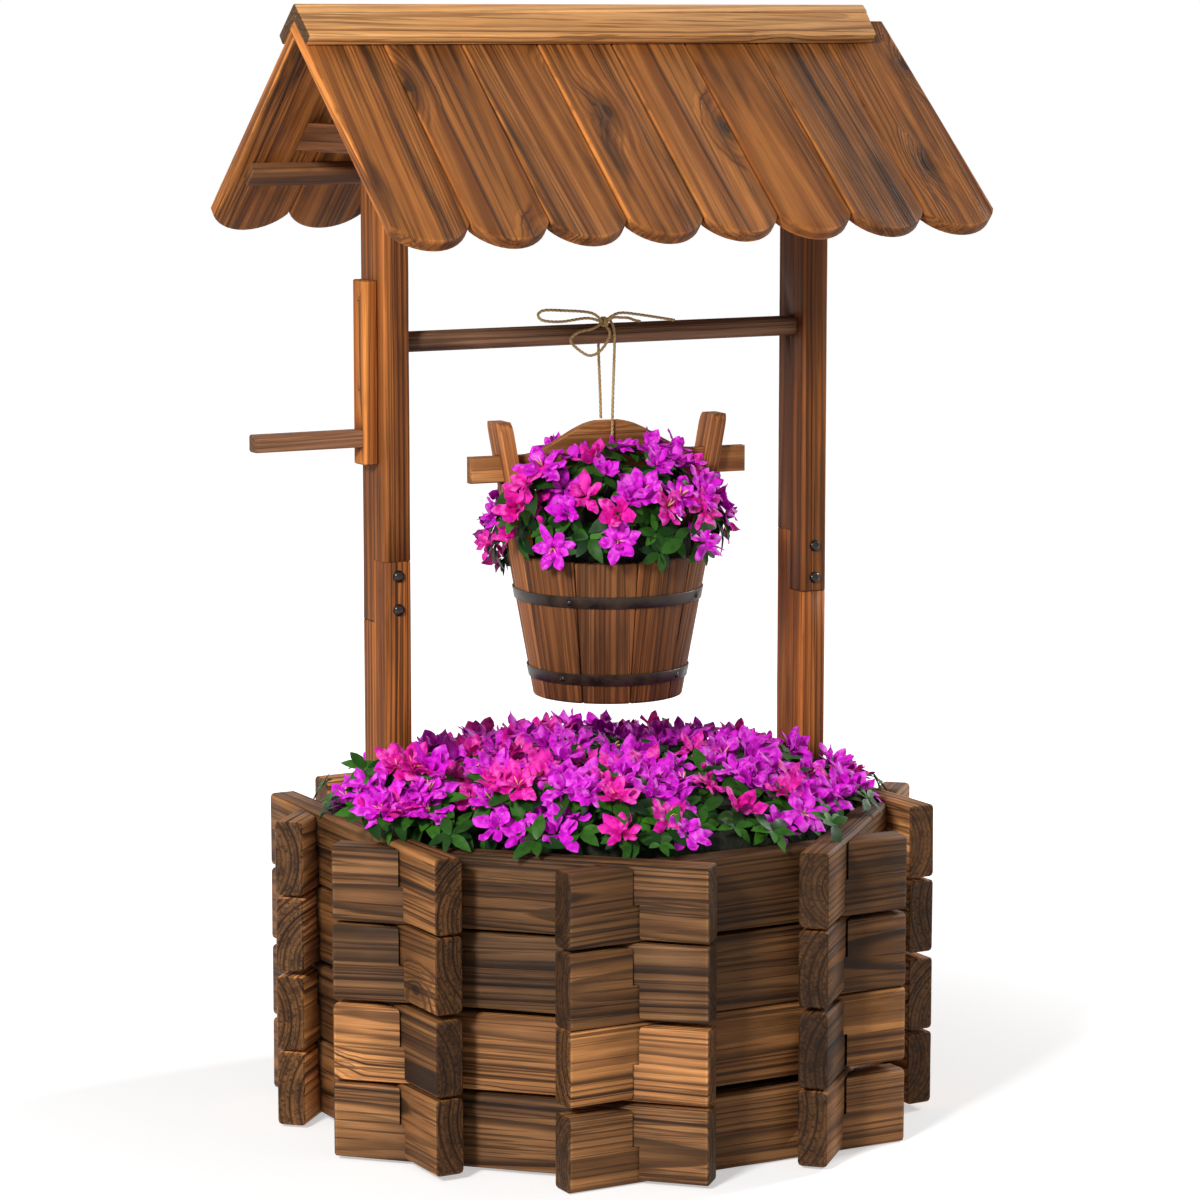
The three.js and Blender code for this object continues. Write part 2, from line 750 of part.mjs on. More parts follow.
const twineRoutesBow = [
  [
    knotPlace, [-28, -15.5, 22.6], [-62, -16, 26.3], [-83, -16, 27], [-89.5, -16, 22.4],
    [-83, -16, 16.8], [-62, -16, 15], [-32, -15.5, 17.4], knotPlace,
  ],
  [
    knotPlace, [-26.6, -15.8, 6.6], [-43.5, -16, 3.3], [-52.1, -16, -4], [-45.5, -16, -12.2],
    [-31.1, -16, -20.6], [-18.8, -16.4, -17.2], [-9.8, -17, -6.6], [-7.2, -17, 2.8], knotPlace,
  ],
  [knotPlace, [-3, -15.4, 19], [8, -15, 21.5], [26.1, -15, 19.3], [48.6, -15, 15.6], [70.3, -15, 11.8]],
  [knotPlace, [-1.3, -14.4, 16.9], [8, -12.4, 16.4], [18.9, -9.4, 15.4], [28, -7.2, 12.6], [35.8, -5.8, 11]],
];

function bowGeometry() {
  const knot = new THREE.SphereGeometry(knotRadius, 12, 8);
  knot.scale(knotWidthShare, 1, 1).translate(...knotPlace);
  return join([knot, ...twineRoutesBow.map(tube)]);
}

for (const [name, geometry, parent] of [
  ['twine_bow', bowGeometry(), well],
  ['twine_strands', tube(twineRouteStrands), well],
  ['twine_sling', tube(twineRouteSling), bucket],
]) {
  const offset = parent === well ? hangPlace : 0;
  addMesh(name, geometry, finish(0xc9a26b, 0.9), parent).position.set(offset, 0, rodHeight);
}

// Planting: soil to the brim and a mound of flowers over it, one soft solid each
function moundProfile(foot, brim, top, inside, reach) {
  const points = [[0, foot], [inside(foot), foot], [inside(brim), brim], [reach * (1 - moundStep / 4), brim]];
  for (let share = moundStep; share < 1; share += moundStep) {
    const height = brim + (top - brim) * Math.sqrt(share);
    points.push([reach * Math.pow(1 - share * share, moundShoulderShare), height]);
  }
  points.push([0, top]);
  return points.map(([radius, height]) => new THREE.Vector2(radius, height));
}

function tubPlanting() {
  const moundTop = bucketFootHeight - moundRoom;
  const soilFoot = postFoot;
  const brim = wallTop + soilGap;
  const inside = tubInside - soilGap;
  const soil = octagon(inside, brim + cutOverrun - soilFoot, soilFoot);
  const profile = moundProfile(brim, brim, moundTop, () => inside, tubInradius - moundSetback);
  const mound = new THREE.LatheGeometry(profile.slice(0, 1).concat(profile.slice(3)), 36).rotateX(Math.PI / 2);
  const half = postDepth / 2 + soilGap;
  const postSlots = [0, Math.PI].map((turn) => box(
    [postInner - soilGap, -half, 0],
    [postOuter + soilGap, half, moundTop + cutOverrun],
  ).rotateZ(turn));
  return cut(join([soil, mound]), postSlots);
}

function bucketPlanting() {
  const foot = bottomTop + seatGap;
  const brim = bucketRimHeight + soilGap;
  const inside = (height) => outerRadius(height) - staveThickness - soilGap;
  const top = barArchUnder - bucketMoundRoom;
  const profile = moundProfile(foot, brim, top, inside, bucketRimRadius + bucketMoundSpill);
  const mound = new THREE.LatheGeometry(profile, bucketFacets).rotateX(Math.PI / 2);
  return cut(mound, earRoom(soilGap));
}

const plantFinish = finish(0x4d7a2f, 0.9);
addMesh('tub_planting', tubPlanting(), plantFinish);
addMesh('bucket_planting', bucketPlanting(), plantFinish, bucket);

export default well;
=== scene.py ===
import math
import random

import bmesh
import bpy
from mathutils import Matrix, Vector, noise


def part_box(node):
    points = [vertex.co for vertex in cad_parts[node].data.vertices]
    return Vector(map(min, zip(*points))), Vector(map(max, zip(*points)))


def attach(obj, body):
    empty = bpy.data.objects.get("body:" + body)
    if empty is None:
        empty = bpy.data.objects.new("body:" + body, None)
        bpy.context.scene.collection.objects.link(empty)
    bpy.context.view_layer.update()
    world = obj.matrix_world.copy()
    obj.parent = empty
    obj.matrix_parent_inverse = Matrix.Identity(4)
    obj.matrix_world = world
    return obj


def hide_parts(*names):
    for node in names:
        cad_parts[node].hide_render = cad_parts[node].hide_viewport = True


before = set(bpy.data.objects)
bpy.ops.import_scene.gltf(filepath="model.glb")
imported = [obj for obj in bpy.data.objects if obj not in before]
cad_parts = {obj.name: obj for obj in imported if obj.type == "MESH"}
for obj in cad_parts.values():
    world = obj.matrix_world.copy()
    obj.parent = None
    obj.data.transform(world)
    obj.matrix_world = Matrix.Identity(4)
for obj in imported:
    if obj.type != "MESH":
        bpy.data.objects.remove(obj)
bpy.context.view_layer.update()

# Camera. It stands at the left front of the well, a little above the middle of
# its height, and looks slightly down, as the photograph does.
VIEW_TURN = math.radians(-28.892)
camera_data = bpy.data.cameras.new("photo_camera")
camera_data.sensor_width = 36
camera_data.lens = 120.27
camera = bpy.data.objects.new("photo_camera", camera_data)
camera.location = (-1.9844, -3.5958, 1.1295)
camera.rotation_euler = (math.radians(90 - 8.275), 0, VIEW_TURN)
bpy.context.scene.collection.objects.link(camera)
bpy.context.scene.camera = camera
bpy.context.scene.view_settings.view_transform = "Standard"


# Twine. Three-ply jute, tied in a bow on the rod. Two strands hang from the
# knot and the rod's back to the bucket's bar, and a sling carries the bar. The
# points repeat the solid's own route, in millimetres from the rod's axis.
HANG = Vector((0.009, 0, 0.8084))
TWINE_DIAMETER = 0.0032
TWINE_LAY = 0.0143
STRANDS = [
    (1, -8.1, -88.4), (1, -9.4, -60), (1, -11.8, -26), (1, -12.6, -10), (0.8, -12.6, 0), (0, -10.8, 8.8),
    (-1, -5.8, 13.6), (-1.6, 0, 14.8), (-2.2, 5.8, 13.6), (-3, 10.8, 8.8), (-3.8, 12.6, 0), (-4, 12.6, -10),
    (-4, 11.8, -26), (-3.8, 9.4, -60), (-3.6, 8.1, -88.4),
]
SLING = [
    (1.8, -8.1, -89.15), (1.4, -8.1, -110), (1, -8.1, -132.5), (0.9, -7.4, -139.8), (0, -4.6, -140.7),
    (-1, 0, -140.7), (-2, 4.6, -140.7), (-2.7, 7.4, -139.8), (-3, 8.1, -132.5), (-3.6, 8.1, -110),
    (-4.4, 8.1, -89.15),
]
KNOT = (-10.5, -9.9, 11.9)
SIDE_LOOP = [
    KNOT, (-28, -15.5, 22.6), (-62, -16, 26.3), (-83, -16, 27), (-89.5, -16, 22.4), (-83, -16, 16.8),
    (-62, -16, 15), (-32, -15.5, 17.4), KNOT,
]
LOW_LOOP = [
    KNOT, (-26.6, -15.8, 6.6), (-43.5, -16, 3.3), (-52.1, -16, -4), (-45.5, -16, -12.2), (-31.1, -16, -20.6),
    (-18.8, -16.4, -17.2), (-9.8, -17, -6.6), (-7.2, -17, 2.8), KNOT,
]
LONG_TAIL = [KNOT, (-3, -15.4, 19), (8, -15, 21.5), (26.1, -15, 19.3), (48.6, -15, 15.6), (70.3, -15, 11.8)]
SHORT_TAIL = [
    KNOT, (-1.3, -14.4, 16.9), (8, -12.4, 16.4), (18.9, -9.4, 15.4), (28, -7.2, 12.6), (35.8, -5.8, 11),
]
BUCKET_PLACE = Matrix.Translation((0.009, 0, 0)) @ Matrix.Rotation(math.radians(-5.6), 4, "Z")


def rgb(red, green, blue):
    """A colour given as it shows on a screen, from 0 to 255."""
    return tuple(((part / 255 + 0.055) / 1.055) ** 2.4 for part in (red, green, blue)) + (1,)


def add_node(tree, kind, inputs=None, **settings):
    """One shader node. Its inputs take plain values or other nodes' outputs."""
    node = tree.nodes.new("ShaderNode" + kind)
    for name, value in settings.items():
        setattr(node, name, value)
    for key, value in (inputs or {}).items():
        if isinstance(value, bpy.types.NodeSocket):
            tree.links.new(value, node.inputs[key])
        else:
            node.inputs[key].default_value = value
    return node


def calc(tree, operation, *values):
    return add_node(tree, "Math", dict(enumerate(values)), operation=operation).outputs[0]


def times(tree, first, second):
    return calc(tree, "MULTIPLY", first, second)


def times_plus(tree, first, second, added):
    return calc(tree, "MULTIPLY_ADD", first, second, added)


def stretch(tree, vector, scale):
    return add_node(tree, "VectorMath", {0: vector, 1: scale}, operation="MULTIPLY").outputs[0]


def length_of(tree, vector):
    return add_node(tree, "VectorMath", {0: vector}, operation="LENGTH").outputs["Value"]


def cloud(tree, vector, scale, detail=2.0, rough=0.5):
    inputs = {"Vector": vector, "Scale": scale, "Detail": detail, "Roughness": rough}
    return add_node(tree, "TexNoise", inputs).outputs["Fac"]


def rise(tree, value, low, high, start=0.0, end=1.0):
    """Goes smoothly from start to end as the value goes from low to high."""
    limits = {"Value": value, "From Min": low, "From Max": high, "To Min": start, "To Max": end}
    return add_node(tree, "MapRange", limits, interpolation_type="SMOOTHSTEP").outputs["Result"]


def mix_colour(tree, factor, first, second, mode="MIX"):
    sockets = {0: factor, 6: first, 7: second}
    return add_node(tree, "Mix", sockets, data_type="RGBA", blend_type=mode).outputs[2]


def new_finish(name, **plain):
    """A material, its node tree and its shader, with the values that are the same all over."""
    material = bpy.data.materials.new(name)
    material.use_nodes = True
    shader = material.node_tree.nodes["Principled BSDF"]
    for label, value in plain.items():
        shader.inputs[label.replace("_", " ")].default_value = value
    return material, material.node_tree, shader


def paint(tree, shader, colour, roughness=None):
    """Feeds the shader a colour and, where it varies, a roughness."""
    tree.links.new(colour, shader.inputs["Base Color"])
    if roughness is not None:
        tree.links.new(roughness, shader.inputs["Roughness"])


def give_relief(tree, shader, height, distance, strength=0.7):
    bump = add_node(tree, "Bump", {"Height": height, "Strength": strength, "Distance": distance})
    tree.links.new(bump.outputs["Normal"], shader.inputs["Normal"])


def object_place(tree):
    return add_node(tree, "TexCoord").outputs["Object"]


def finish_piece(name, bm, material, body, stands_for=(), sharp=35):
    """Turns a finished bmesh into a piece that rides on a body of the frame."""
    mesh = bpy.data.meshes.new(name)
    bm.to_mesh(mesh)
    bm.free()
    mesh.materials.append(material)
    mesh.shade_smooth()
    mesh.set_sharp_from_angle(angle=math.radians(sharp))
    piece = bpy.data.objects.new(name, mesh)
    bpy.context.scene.collection.objects.link(piece)
    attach(piece, body)
    if stands_for:
        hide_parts(*stands_for)
    return piece


def verts_in(geometry):
    return [item for item in geometry if isinstance(item, bmesh.types.BMVert)]


def turn_faces_out(bm):
    bmesh.ops.recalc_face_normals(bm, faces=bm.faces[:])


def smooth_route(points, place, spacing=0.0012):
    """A smooth line through the points, in metres, as a list of evenly spaced places."""
    points = [place @ (Vector(point) / 1000) for point in points]
    ends = [2 * points[0] - points[1]] + points + [2 * points[-1] - points[-2]]
    dense = []
    for before, start, end, after in zip(ends, ends[1:], ends[2:], ends[3:]):
        for step in range(40):
            t = step / 40
            dense.append(0.5 * (
                2 * start + (end - before) * t + (2 * before - 5 * start + 4 * end - after) * t * t
                + (3 * start - before - 3 * end + after) * t ** 3
            ))
    dense.append(points[-1])
    route, carried = [dense[0]], 0
    for start, end in zip(dense, dense[1:]):
        carried += (end - start).length
        if carried >= spacing:
            route.append(end)
            carried = 0
    return route


def plied_twine(bm, route):
    """Sweeps a three-lobed section along the route, and turns it as it goes, as plied twine turns."""
    section = bmesh.ops.create_circle(bm, segments=12, radius=TWINE_DIAMETER / 2, cap_ends=True)["verts"]
    for number, vert in enumerate(section):
        vert.co *= 0.87 + 0.13 * math.cos(math.pi * number / 2)
    rim = bm.edges[:]
    across = (route[1] - route[0]).orthogonal().normalized()
    travelled, before = 0, Matrix()
    for number, point in enumerate(route):
        ahead = (route[min(number + 1, len(route) - 1)] - route[max(number - 1, 0)]).normalized()
        across = (across - ahead * across.dot(ahead)).normalized()
        travelled += (point - route[max(number - 1, 0)]).length
        stand = Matrix.Translation(point) @ Matrix((across, ahead.cross(across), ahead)).transposed().to_4x4()
        here = stand @ Matrix.Rotation(2 * math.pi * travelled / TWINE_LAY, 4, "Z")
        if number:
            new = bmesh.ops.extrude_edge_only(bm, edges=rim)["geom"]
            section = verts_in(new)
            edges = [item for item in new if isinstance(item, bmesh.types.BMEdge)]
            rim = [edge for edge in edges if all(vert in section for vert in edge.verts)]
        bmesh.ops.transform(bm, matrix=here @ before.inverted(), verts=section)
        before = here
    bmesh.ops.edgeloop_fill(bm, edges=rim)
    turn_faces_out(bm)


jute, jute_tree, jute_shader = new_finish("jute_twine", Roughness=0.9, Specular_IOR_Level=0.2)
jute_fuzz = cloud(jute_tree, object_place(jute_tree), 900, 4)
jute_patch = rise(jute_tree, cloud(jute_tree, object_place(jute_tree), 60), 0.35, 0.7, 0, 0.4)
jute_fibres = rise(jute_tree, jute_fuzz, 0.3, 0.7)
jute_colour = mix_colour(jute_tree, jute_fibres, rgb(156, 118, 74), rgb(228, 194, 140))
paint(jute_tree, jute_shader, mix_colour(jute_tree, jute_patch, jute_colour, rgb(232, 204, 154)))
give_relief(jute_tree, jute_shader, jute_fuzz, 0.0004, 0.8)


def twine_piece(name, points, place, body, node):
    route = smooth_route(points, place)
    bm = bmesh.new()
    plied_twine(bm, route)
    piece = finish_piece(name, bm, jute, body, [node], 60)


rod_place = Matrix.Translation(HANG)
twine_piece("twine_two_strands", STRANDS, rod_place, "strands", "twine_strands")
sling_place = BUCKET_PLACE @ Matrix.Translation((0, 0, HANG.z))
twine_piece("twine_under_bar", SLING, sling_place, "bucket", "twine_sling")
twine_piece("twine_side_loop", SIDE_LOOP, rod_place, "rod", "twine_bow")
twine_piece("twine_low_loop", LOW_LOOP, rod_place, "rod", "twine_bow")
twine_piece("twine_long_tail", LONG_TAIL, rod_place, "rod", "twine_bow")
twine_piece("twine_short_tail", SHORT_TAIL, rod_place, "rod", "twine_bow")
knot_turns = []
for step in range(29):
    turn = 2 * math.pi * step / 16
    across_knot, out_of_knot = 3.4 * math.sin(turn), 4.1 * math.cos(turn)
    knot_turns.append((KNOT[0] - 2.2 + 0.16 * step, KNOT[1] - 1.2 + across_knot, KNOT[2] + 1 + out_of_knot))
knot = bmesh.new()
plied_twine(knot, smooth_route(knot_turns, rod_place))
finish_piece("twine_knot", knot, jute, "rod", ["twine_bow"], 60)


# Tub planks. Charred, brushed and oiled fir, four courses on eight sides, notched
# over each other at the corners. Each keeps its place in the log it was sawn from,
# so its faces and end grain show one set of rings. Their ends are painted paler,
# as painted light: the panels between the horns lie in the horns' shade.
WALLS = ["front", "front_right", "right_end", "back_right", "back", "back_left", "left_end", "front_left"]
COURSES = 4
ALONG_X, ALONG_Y, ALONG_Z = (1, 0, 0), (0, 1, 0), (0, 0, 1)
PLANK_HALF = (0.1932, 0.038, 0.015)
PAINTED_LIGHT_BEYOND = 0.11
HEWN_ROWS = 10
PLANK_WANDER, POST_WANDER = 0.0005, 0.0003
# Brightness and warmth of each plank: partly its own tone, partly painted shade, set darker where a wall's
# panels lie in the horns' shade.
PLANK_TONES_AND_SHADE = {
    "front_left": [(-0.45, 0.2), (0.4, 0.55), (-1.25, 0.0), (-1.0, 0.2)],
    "front": [(-0.45, 0.4), (-0.2, 0.75), (-1.3, 0.4), (-1.7, 0.35)],
    "left_end": [(-0.7, 0.7), (-1.4, 0.6), (-0.8, 0.9), (-0.5, 0.8)],
    "front_right": [(-0.7, 0.6), (-1.7, 0.4), (-1.1, 0.6), (-1.1, 0.5)],
}


def brighten(tree, colour, factor):
    return add_node(tree, "VectorMath", {0: colour, "Scale": factor}, operation="SCALE").outputs[0]


def new_group(name, inputs, outputs):
    tree = bpy.data.node_groups.new(name, "ShaderNodeTree")
    for label, kind, value in inputs:
        socket = tree.interface.new_socket(label, in_out="INPUT", socket_type="NodeSocket" + kind)
        socket.default_value = value
    for label, kind in outputs:
        tree.interface.new_socket(label, in_out="OUTPUT", socket_type="NodeSocket" + kind)
    return tree, tree.nodes.new("NodeGroupInput").outputs, tree.nodes.new("NodeGroupOutput").inputs


grain, given, result = new_group(
    "charred_fir_grain",
    [
        ("Log", "Vector", (0, 0, 0)), ("Tone", "Vector", (0, 0, 0)), ("Pale", "Color", (1, 1, 1, 1)),
        ("Warm", "Color", (1, 1, 1, 1)), ("Dark", "Color", (0, 0, 0, 1)), ("Ring Width", "Float", 0.005),
        ("Lines", "Float", 0.8), ("Char", "Float", 0.4), ("Knots", "Float", 0.1), ("Sway", "Float", 1),
        ("Calm", "Float", 0.3),
    ],
    [("Color", "Color"), ("Roughness", "Float"), ("Height", "Float")],
)
log = given["Log"]


def drawn_out(scale, detail=2.0, rough=0.5):
    """A cloud in the log's own space, drawn out along its length."""
    return cloud(grain, stretch(grain, log, scale), 1, detail, rough)


def ring_noise(place, detail=2.0):
    """An unevenness that is the same all round a ring."""
    inputs = {"W": place, "Scale": 1, "Detail": detail}
    return add_node(grain, "TexNoise", inputs, noise_dimensions="1D").outputs["Fac"]


sway = times(grain, drawn_out((2, 6, 6), 1), 0.016)
sway = times_plus(grain, drawn_out((9, 42, 42)), 0.0026, sway)
knot_inputs = {"Vector": stretch(grain, log, (4.6, 9, 0)), "Scale": 1}
knot_cells = add_node(grain, "TexVoronoi", knot_inputs, voronoi_dimensions="2D")
knot_pick = add_node(grain, "SeparateColor", {"Color": knot_cells.outputs["Color"]}).outputs[0]
is_knot = calc(grain, "LESS_THAN", knot_pick, given["Knots"])
knot_reach = times_plus(grain, cloud(grain, log, 60, 2), 0.06, knot_cells.outputs["Distance"])
knot_pull = times(grain, is_knot, rise(grain, knot_reach, 0.03, 0.34, 1, 0))
knot_core = times(grain, is_knot, rise(grain, knot_reach, 0.06, 0.115, 1, 0))
knot_smoke = times(grain, is_knot, rise(grain, knot_reach, 0.08, 0.24, 0.6, 0))
from_pith = length_of(grain, stretch(grain, log, (0, 1, 1)))
bent = times_plus(grain, sway, given["Sway"], from_pith)
bent = times_plus(grain, knot_pull, 0.016, bent)
uneven = times_plus(grain, ring_noise(times(grain, bent, 55)), 0.009, bent)
ring = calc(grain, "DIVIDE", uneven, given["Ring Width"])
ring_number = calc(grain, "FLOOR", ring)
ring_pick = add_node(grain, "TexWhiteNoise", {"W": ring_number}, noise_dimensions="1D").outputs["Value"]
ring_place = calc(grain, "FRACT", ring)
late_wood = times(grain, rise(grain, ring_place, 0.42, 0.84), rise(grain, ring_place, 0.92, 1, 1, 0))
late_wood = times(grain, late_wood, times_plus(grain, ring_pick, 0.6, 0.4))
pins = rise(grain, drawn_out((2.4, 290, 290)), 0.53, 0.64)
late_wood = calc(grain, "MAXIMUM", late_wood, times(grain, pins, 0.75))
calm = times(grain, rise(grain, drawn_out((1.6, 19, 19)), 0.42, 0.6), given["Calm"])
late_wood = times(grain, late_wood, calc(grain, "SUBTRACT", 1, calm))
band = rise(grain, ring_noise(times(grain, bent, 95)), 0.36, 0.64)
fibre = drawn_out((14, 620, 620), 3, 0.6)
streak = rise(grain, drawn_out((3, 90, 90), 3), 0.36, 0.64)
mixed = times_plus(grain, band, 0.55, times(grain, streak, 0.45))
scorch = times(grain, rise(grain, drawn_out((4.2, 21, 21), 4, 0.6), 0.45, 0.68), given["Char"])
scorch = times(grain, scorch, times_plus(grain, streak, 0.5, 0.5))
knot_dark = calc(grain, "MAXIMUM", times(grain, knot_core, 0.9), knot_smoke)
colour = mix_colour(grain, mixed, given["Pale"], given["Warm"])
for darkening in (times(grain, late_wood, given["Lines"]), scorch, knot_dark):
    colour = mix_colour(grain, darkening, colour, given["Dark"])
tone = add_node(grain, "SeparateXYZ", {0: given["Tone"]}).outputs
light = times(grain, calc(grain, "POWER", 2.0, tone[0]), times_plus(grain, fibre, 0.9, 0.55))
warmth = mix_colour(grain, tone[1], (1, 1, 1, 1), (1.12, 0.97, 0.7, 1))
colour = brighten(grain, mix_colour(grain, 1.0, colour, warmth, "MULTIPLY"), light)
ridges = times_plus(grain, fibre, 0.45, times(grain, late_wood, 0.8))
grain.links.new(colour, result["Color"])
grain.links.new(times_plus(grain, fibre, 0.35, 0.42), result["Roughness"])
grain.links.new(calc(grain, "SUBTRACT", ridges, knot_core), result["Height"])

# A mask for the boards' rounded edges and their ends. The edges are painted paler: partly wear, partly a
# painted highlight.
edge_wear_and_highlight, given, result = new_group(
    "rubbed_and_highlit_edges",
    [("Place", "Vector", (0, 0, 0)), ("Half Size", "Vector", (1, 1, 1)), ("Width", "Float", 0.0045)],
    [("Edge", "Float"), ("End", "Float")],
)
reach = add_node(edge_wear_and_highlight, "VectorMath", {0: given["Place"]}, operation="ABSOLUTE").outputs[0]
inside = add_node(edge_wear_and_highlight, "VectorMath", {0: given["Half Size"], 1: reach}, operation="SUBTRACT").outputs[0]
inside = add_node(edge_wear_and_highlight, "SeparateXYZ", {0: inside}).outputs
sides = [rise(edge_wear_and_highlight, side, 0, given["Width"], 1, 0) for side in inside]
pairs = [times(edge_wear_and_highlight, sides[a], sides[b]) for a, b in ((0, 1), (1, 2), (0, 2))]
mask = calc(edge_wear_and_highlight, "MAXIMUM", calc(edge_wear_and_highlight, "MAXIMUM", pairs[0], pairs[1]), pairs[2])
rub = cloud(edge_wear_and_highlight, given["Place"], 45, 3)
edge_wear_and_highlight.links.new(times(edge_wear_and_highlight, mask, rise(edge_wear_and_highlight, rub, 0.24, 0.52)), result["Edge"])
edge_wear_and_highlight.links.new(rise(edge_wear_and_highlight, inside[0], 0.0006, 0.0022, 1, 0), result["End"])


BOARD_LABELS = ("log", "place", "tone")


def wood_finish(name, pale, warm, dark, half, wear_and_highlight=0.5, end_dark=0.5, **grain_values):
    """Charred, brushed and oiled fir. Its boards carry their place in the log as an attribute."""
    material, tree, shader = new_finish(name, Specular_IOR_Level=0.18)
    read = {
        label: add_node(tree, "Attribute", attribute_name=label).outputs["Vector"] for label in BOARD_LABELS
    }
    fir = add_node(tree, "Group", {"Log": read["log"], "Tone": read["tone"]}, node_tree=grain)
    warm = rgb(*warm)
    for label, value in {"Pale": rgb(*pale), "Warm": warm, "Dark": rgb(*dark), **grain_values}.items():
        fir.inputs[label.replace("_", " ")].default_value = value
    rubbed_and_highlit = add_node(tree, "Group", {"Place": read["place"], "Half Size": half}, node_tree=edge_wear_and_highlight)
    end, edge = rubbed_and_highlit.outputs["End"], rubbed_and_highlit.outputs["Edge"]
    colour = mix_colour(tree, times(tree, end, 0.2), fir.outputs["Color"], warm)
    colour = brighten(tree, colour, times_plus(tree, end, -end_dark, 1))
    # The rounded edges are painted paler: partly worn through the char, partly a painted highlight.
    colour = mix_colour(tree, times(tree, edge, wear_and_highlight), colour, brighten(tree, colour, 1.9))
    paint(tree, shader, colour, fir.outputs["Roughness"])
    give_relief(tree, shader, fir.outputs["Height"], 0.0012, 0.9)
    return material


def new_boards():
    """An empty mesh whose points can say where in a log they lie."""
    bm = bmesh.new()
    for label in BOARD_LABELS:
        bm.verts.layers.float_vector.new(label)
    return bm


def board_layers(bm, *labels):
    return [bm.verts.layers.float_vector[label] for label in labels]


def lay_grain(bm, centre, along, across, dice, pith=(0.05, 0.1), aside=(0, 0.03), lean=0.02, tone=None):
    """Gives one board its own place in a log: its length runs along the log's pith."""
    log_layer, place_layer, tone_layer = board_layers(bm, *BOARD_LABELS)
    along, across = Vector(along).normalized(), Vector(across).normalized()
    deep = along.cross(across)
    sawn_from = [dice.uniform(0, 9)]
    sawn_from += [dice.choice((-1, 1)) * dice.uniform(*limits) for limits in (aside, pith)]
    start = Vector(sawn_from)
    lean_across, lean_deep = dice.uniform(-lean, lean), dice.uniform(-lean, lean)
    drawn = (dice.uniform(-0.35, 0.35), dice.uniform(0.2, 0.8))
    for vert in bm.verts:
        offset = vert.co - Vector(centre)
        x, y, z = offset.dot(along), offset.dot(across), offset.dot(deep)
        vert[place_layer] = (x, y, z)
        vert[log_layer] = start + Vector((x, y + lean_across * x, z + lean_deep * x))
        vert[tone_layer] = (*(tone or drawn), 0)


def cad_shape(node):
    """A merged copy of a CAD node's mesh, with its flat faces whole again."""
    bm = new_boards()
    bm.from_mesh(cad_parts[node].data)
    bmesh.ops.remove_doubles(bm, verts=bm.verts[:], dist=1e-5)
    bmesh.ops.dissolve_limit(bm, angle_limit=math.radians(0.5), verts=bm.verts[:], edges=bm.edges[:])
    return bm


def saw(bm, point, normal, **more):
    """Cuts right through a mesh along a plane."""
    whole = bm.verts[:] + bm.edges[:] + bm.faces[:]
    return bmesh.ops.bisect_plane(bm, geom=whole, plane_co=point, plane_no=normal, **more)


def hew(bm, centre, along, reach, rows, amount, seed):
    """Cuts a board across into rows, and lets its sawn faces wander by up to the amount, in metres."""
    for step in range(1, rows):
        saw(bm, Vector(centre) + Vector(along) * (2 * reach * step / rows - reach), along)
    for vert in bm.verts:
        vert.co += amount * noise.noise_vector(vert.co * 14 + Vector((seed, 0, 0)))


def box_middle(node):
    low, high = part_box(node)
    return (low + high) / 2


plank_wood = wood_finish(
    "tub_plank_wood", (184, 132, 86), (116, 78, 50), (28, 17, 11), PLANK_HALF, wear_and_highlight=0.6, end_dark=0.68,
    Ring_Width=0.0048, Lines=0.95, Char=0.5, Knots=0.25, Sway=0.45, Calm=0.1,
)
dice = random.Random(11)
# Without a seed, the noise that the sawn faces wander by would follow the clock.
noise.seed_set(11)
for wall, wall_name in enumerate(WALLS):
    turn = math.radians(45 * wall)
    along = (math.cos(turn), math.sin(turn), 0)
    tones = PLANK_TONES_AND_SHADE.get(wall_name, [None] * COURSES)
    for course, tone in enumerate(tones, 1):
        node = f"plank_{wall_name}_{course}"
        centre = box_middle(node)
        plank = cad_shape(node)
        lay_grain(plank, centre, along, ALONG_Z, dice, pith=(0.03, 0.09), lean=0.03, tone=tone)
        hew(plank, centre, along, PLANK_HALF[0], HEWN_ROWS, PLANK_WANDER, wall + course)
        # Past the crossings each horn is painted paler: painted light, beside the panels in its shade.
        place_layer, tone_layer = board_layers(plank, "place", "tone")
        for vert in plank.verts:
            past = abs(vert[place_layer].x) - PAINTED_LIGHT_BEYOND
            vert[tone_layer].x += 0.6 * min(1, max(0, past / 0.03))
        finish_piece(f"board_{wall_name}_{course}", plank, plank_wood, "well", [node])


# Floor board. One board of the same fir inside the walls, with four drain
# holes. The soil covers it.
floor_wood = wood_finish(
    "floor_wood", (150, 106, 70), (108, 72, 46), (48, 30, 20), (0.26, 0.26, 0.009), Ring_Width=0.007, Char=0.3
)


def cad_board(node, name, finish, body, slot, along, across, dice, **grain_place):
    """A CAD node's own shape with grain laid in it, as the piece that stands for the node."""
    board = cad_shape(node)
    lay_grain(board, box_middle(node), along, across, dice, **grain_place)
    finish_piece(name, board, finish, body, [node])


cad_board("floor_board", "bottom_board", floor_wood, "well", "tub_wood", ALONG_X, ALONG_Y, dice)


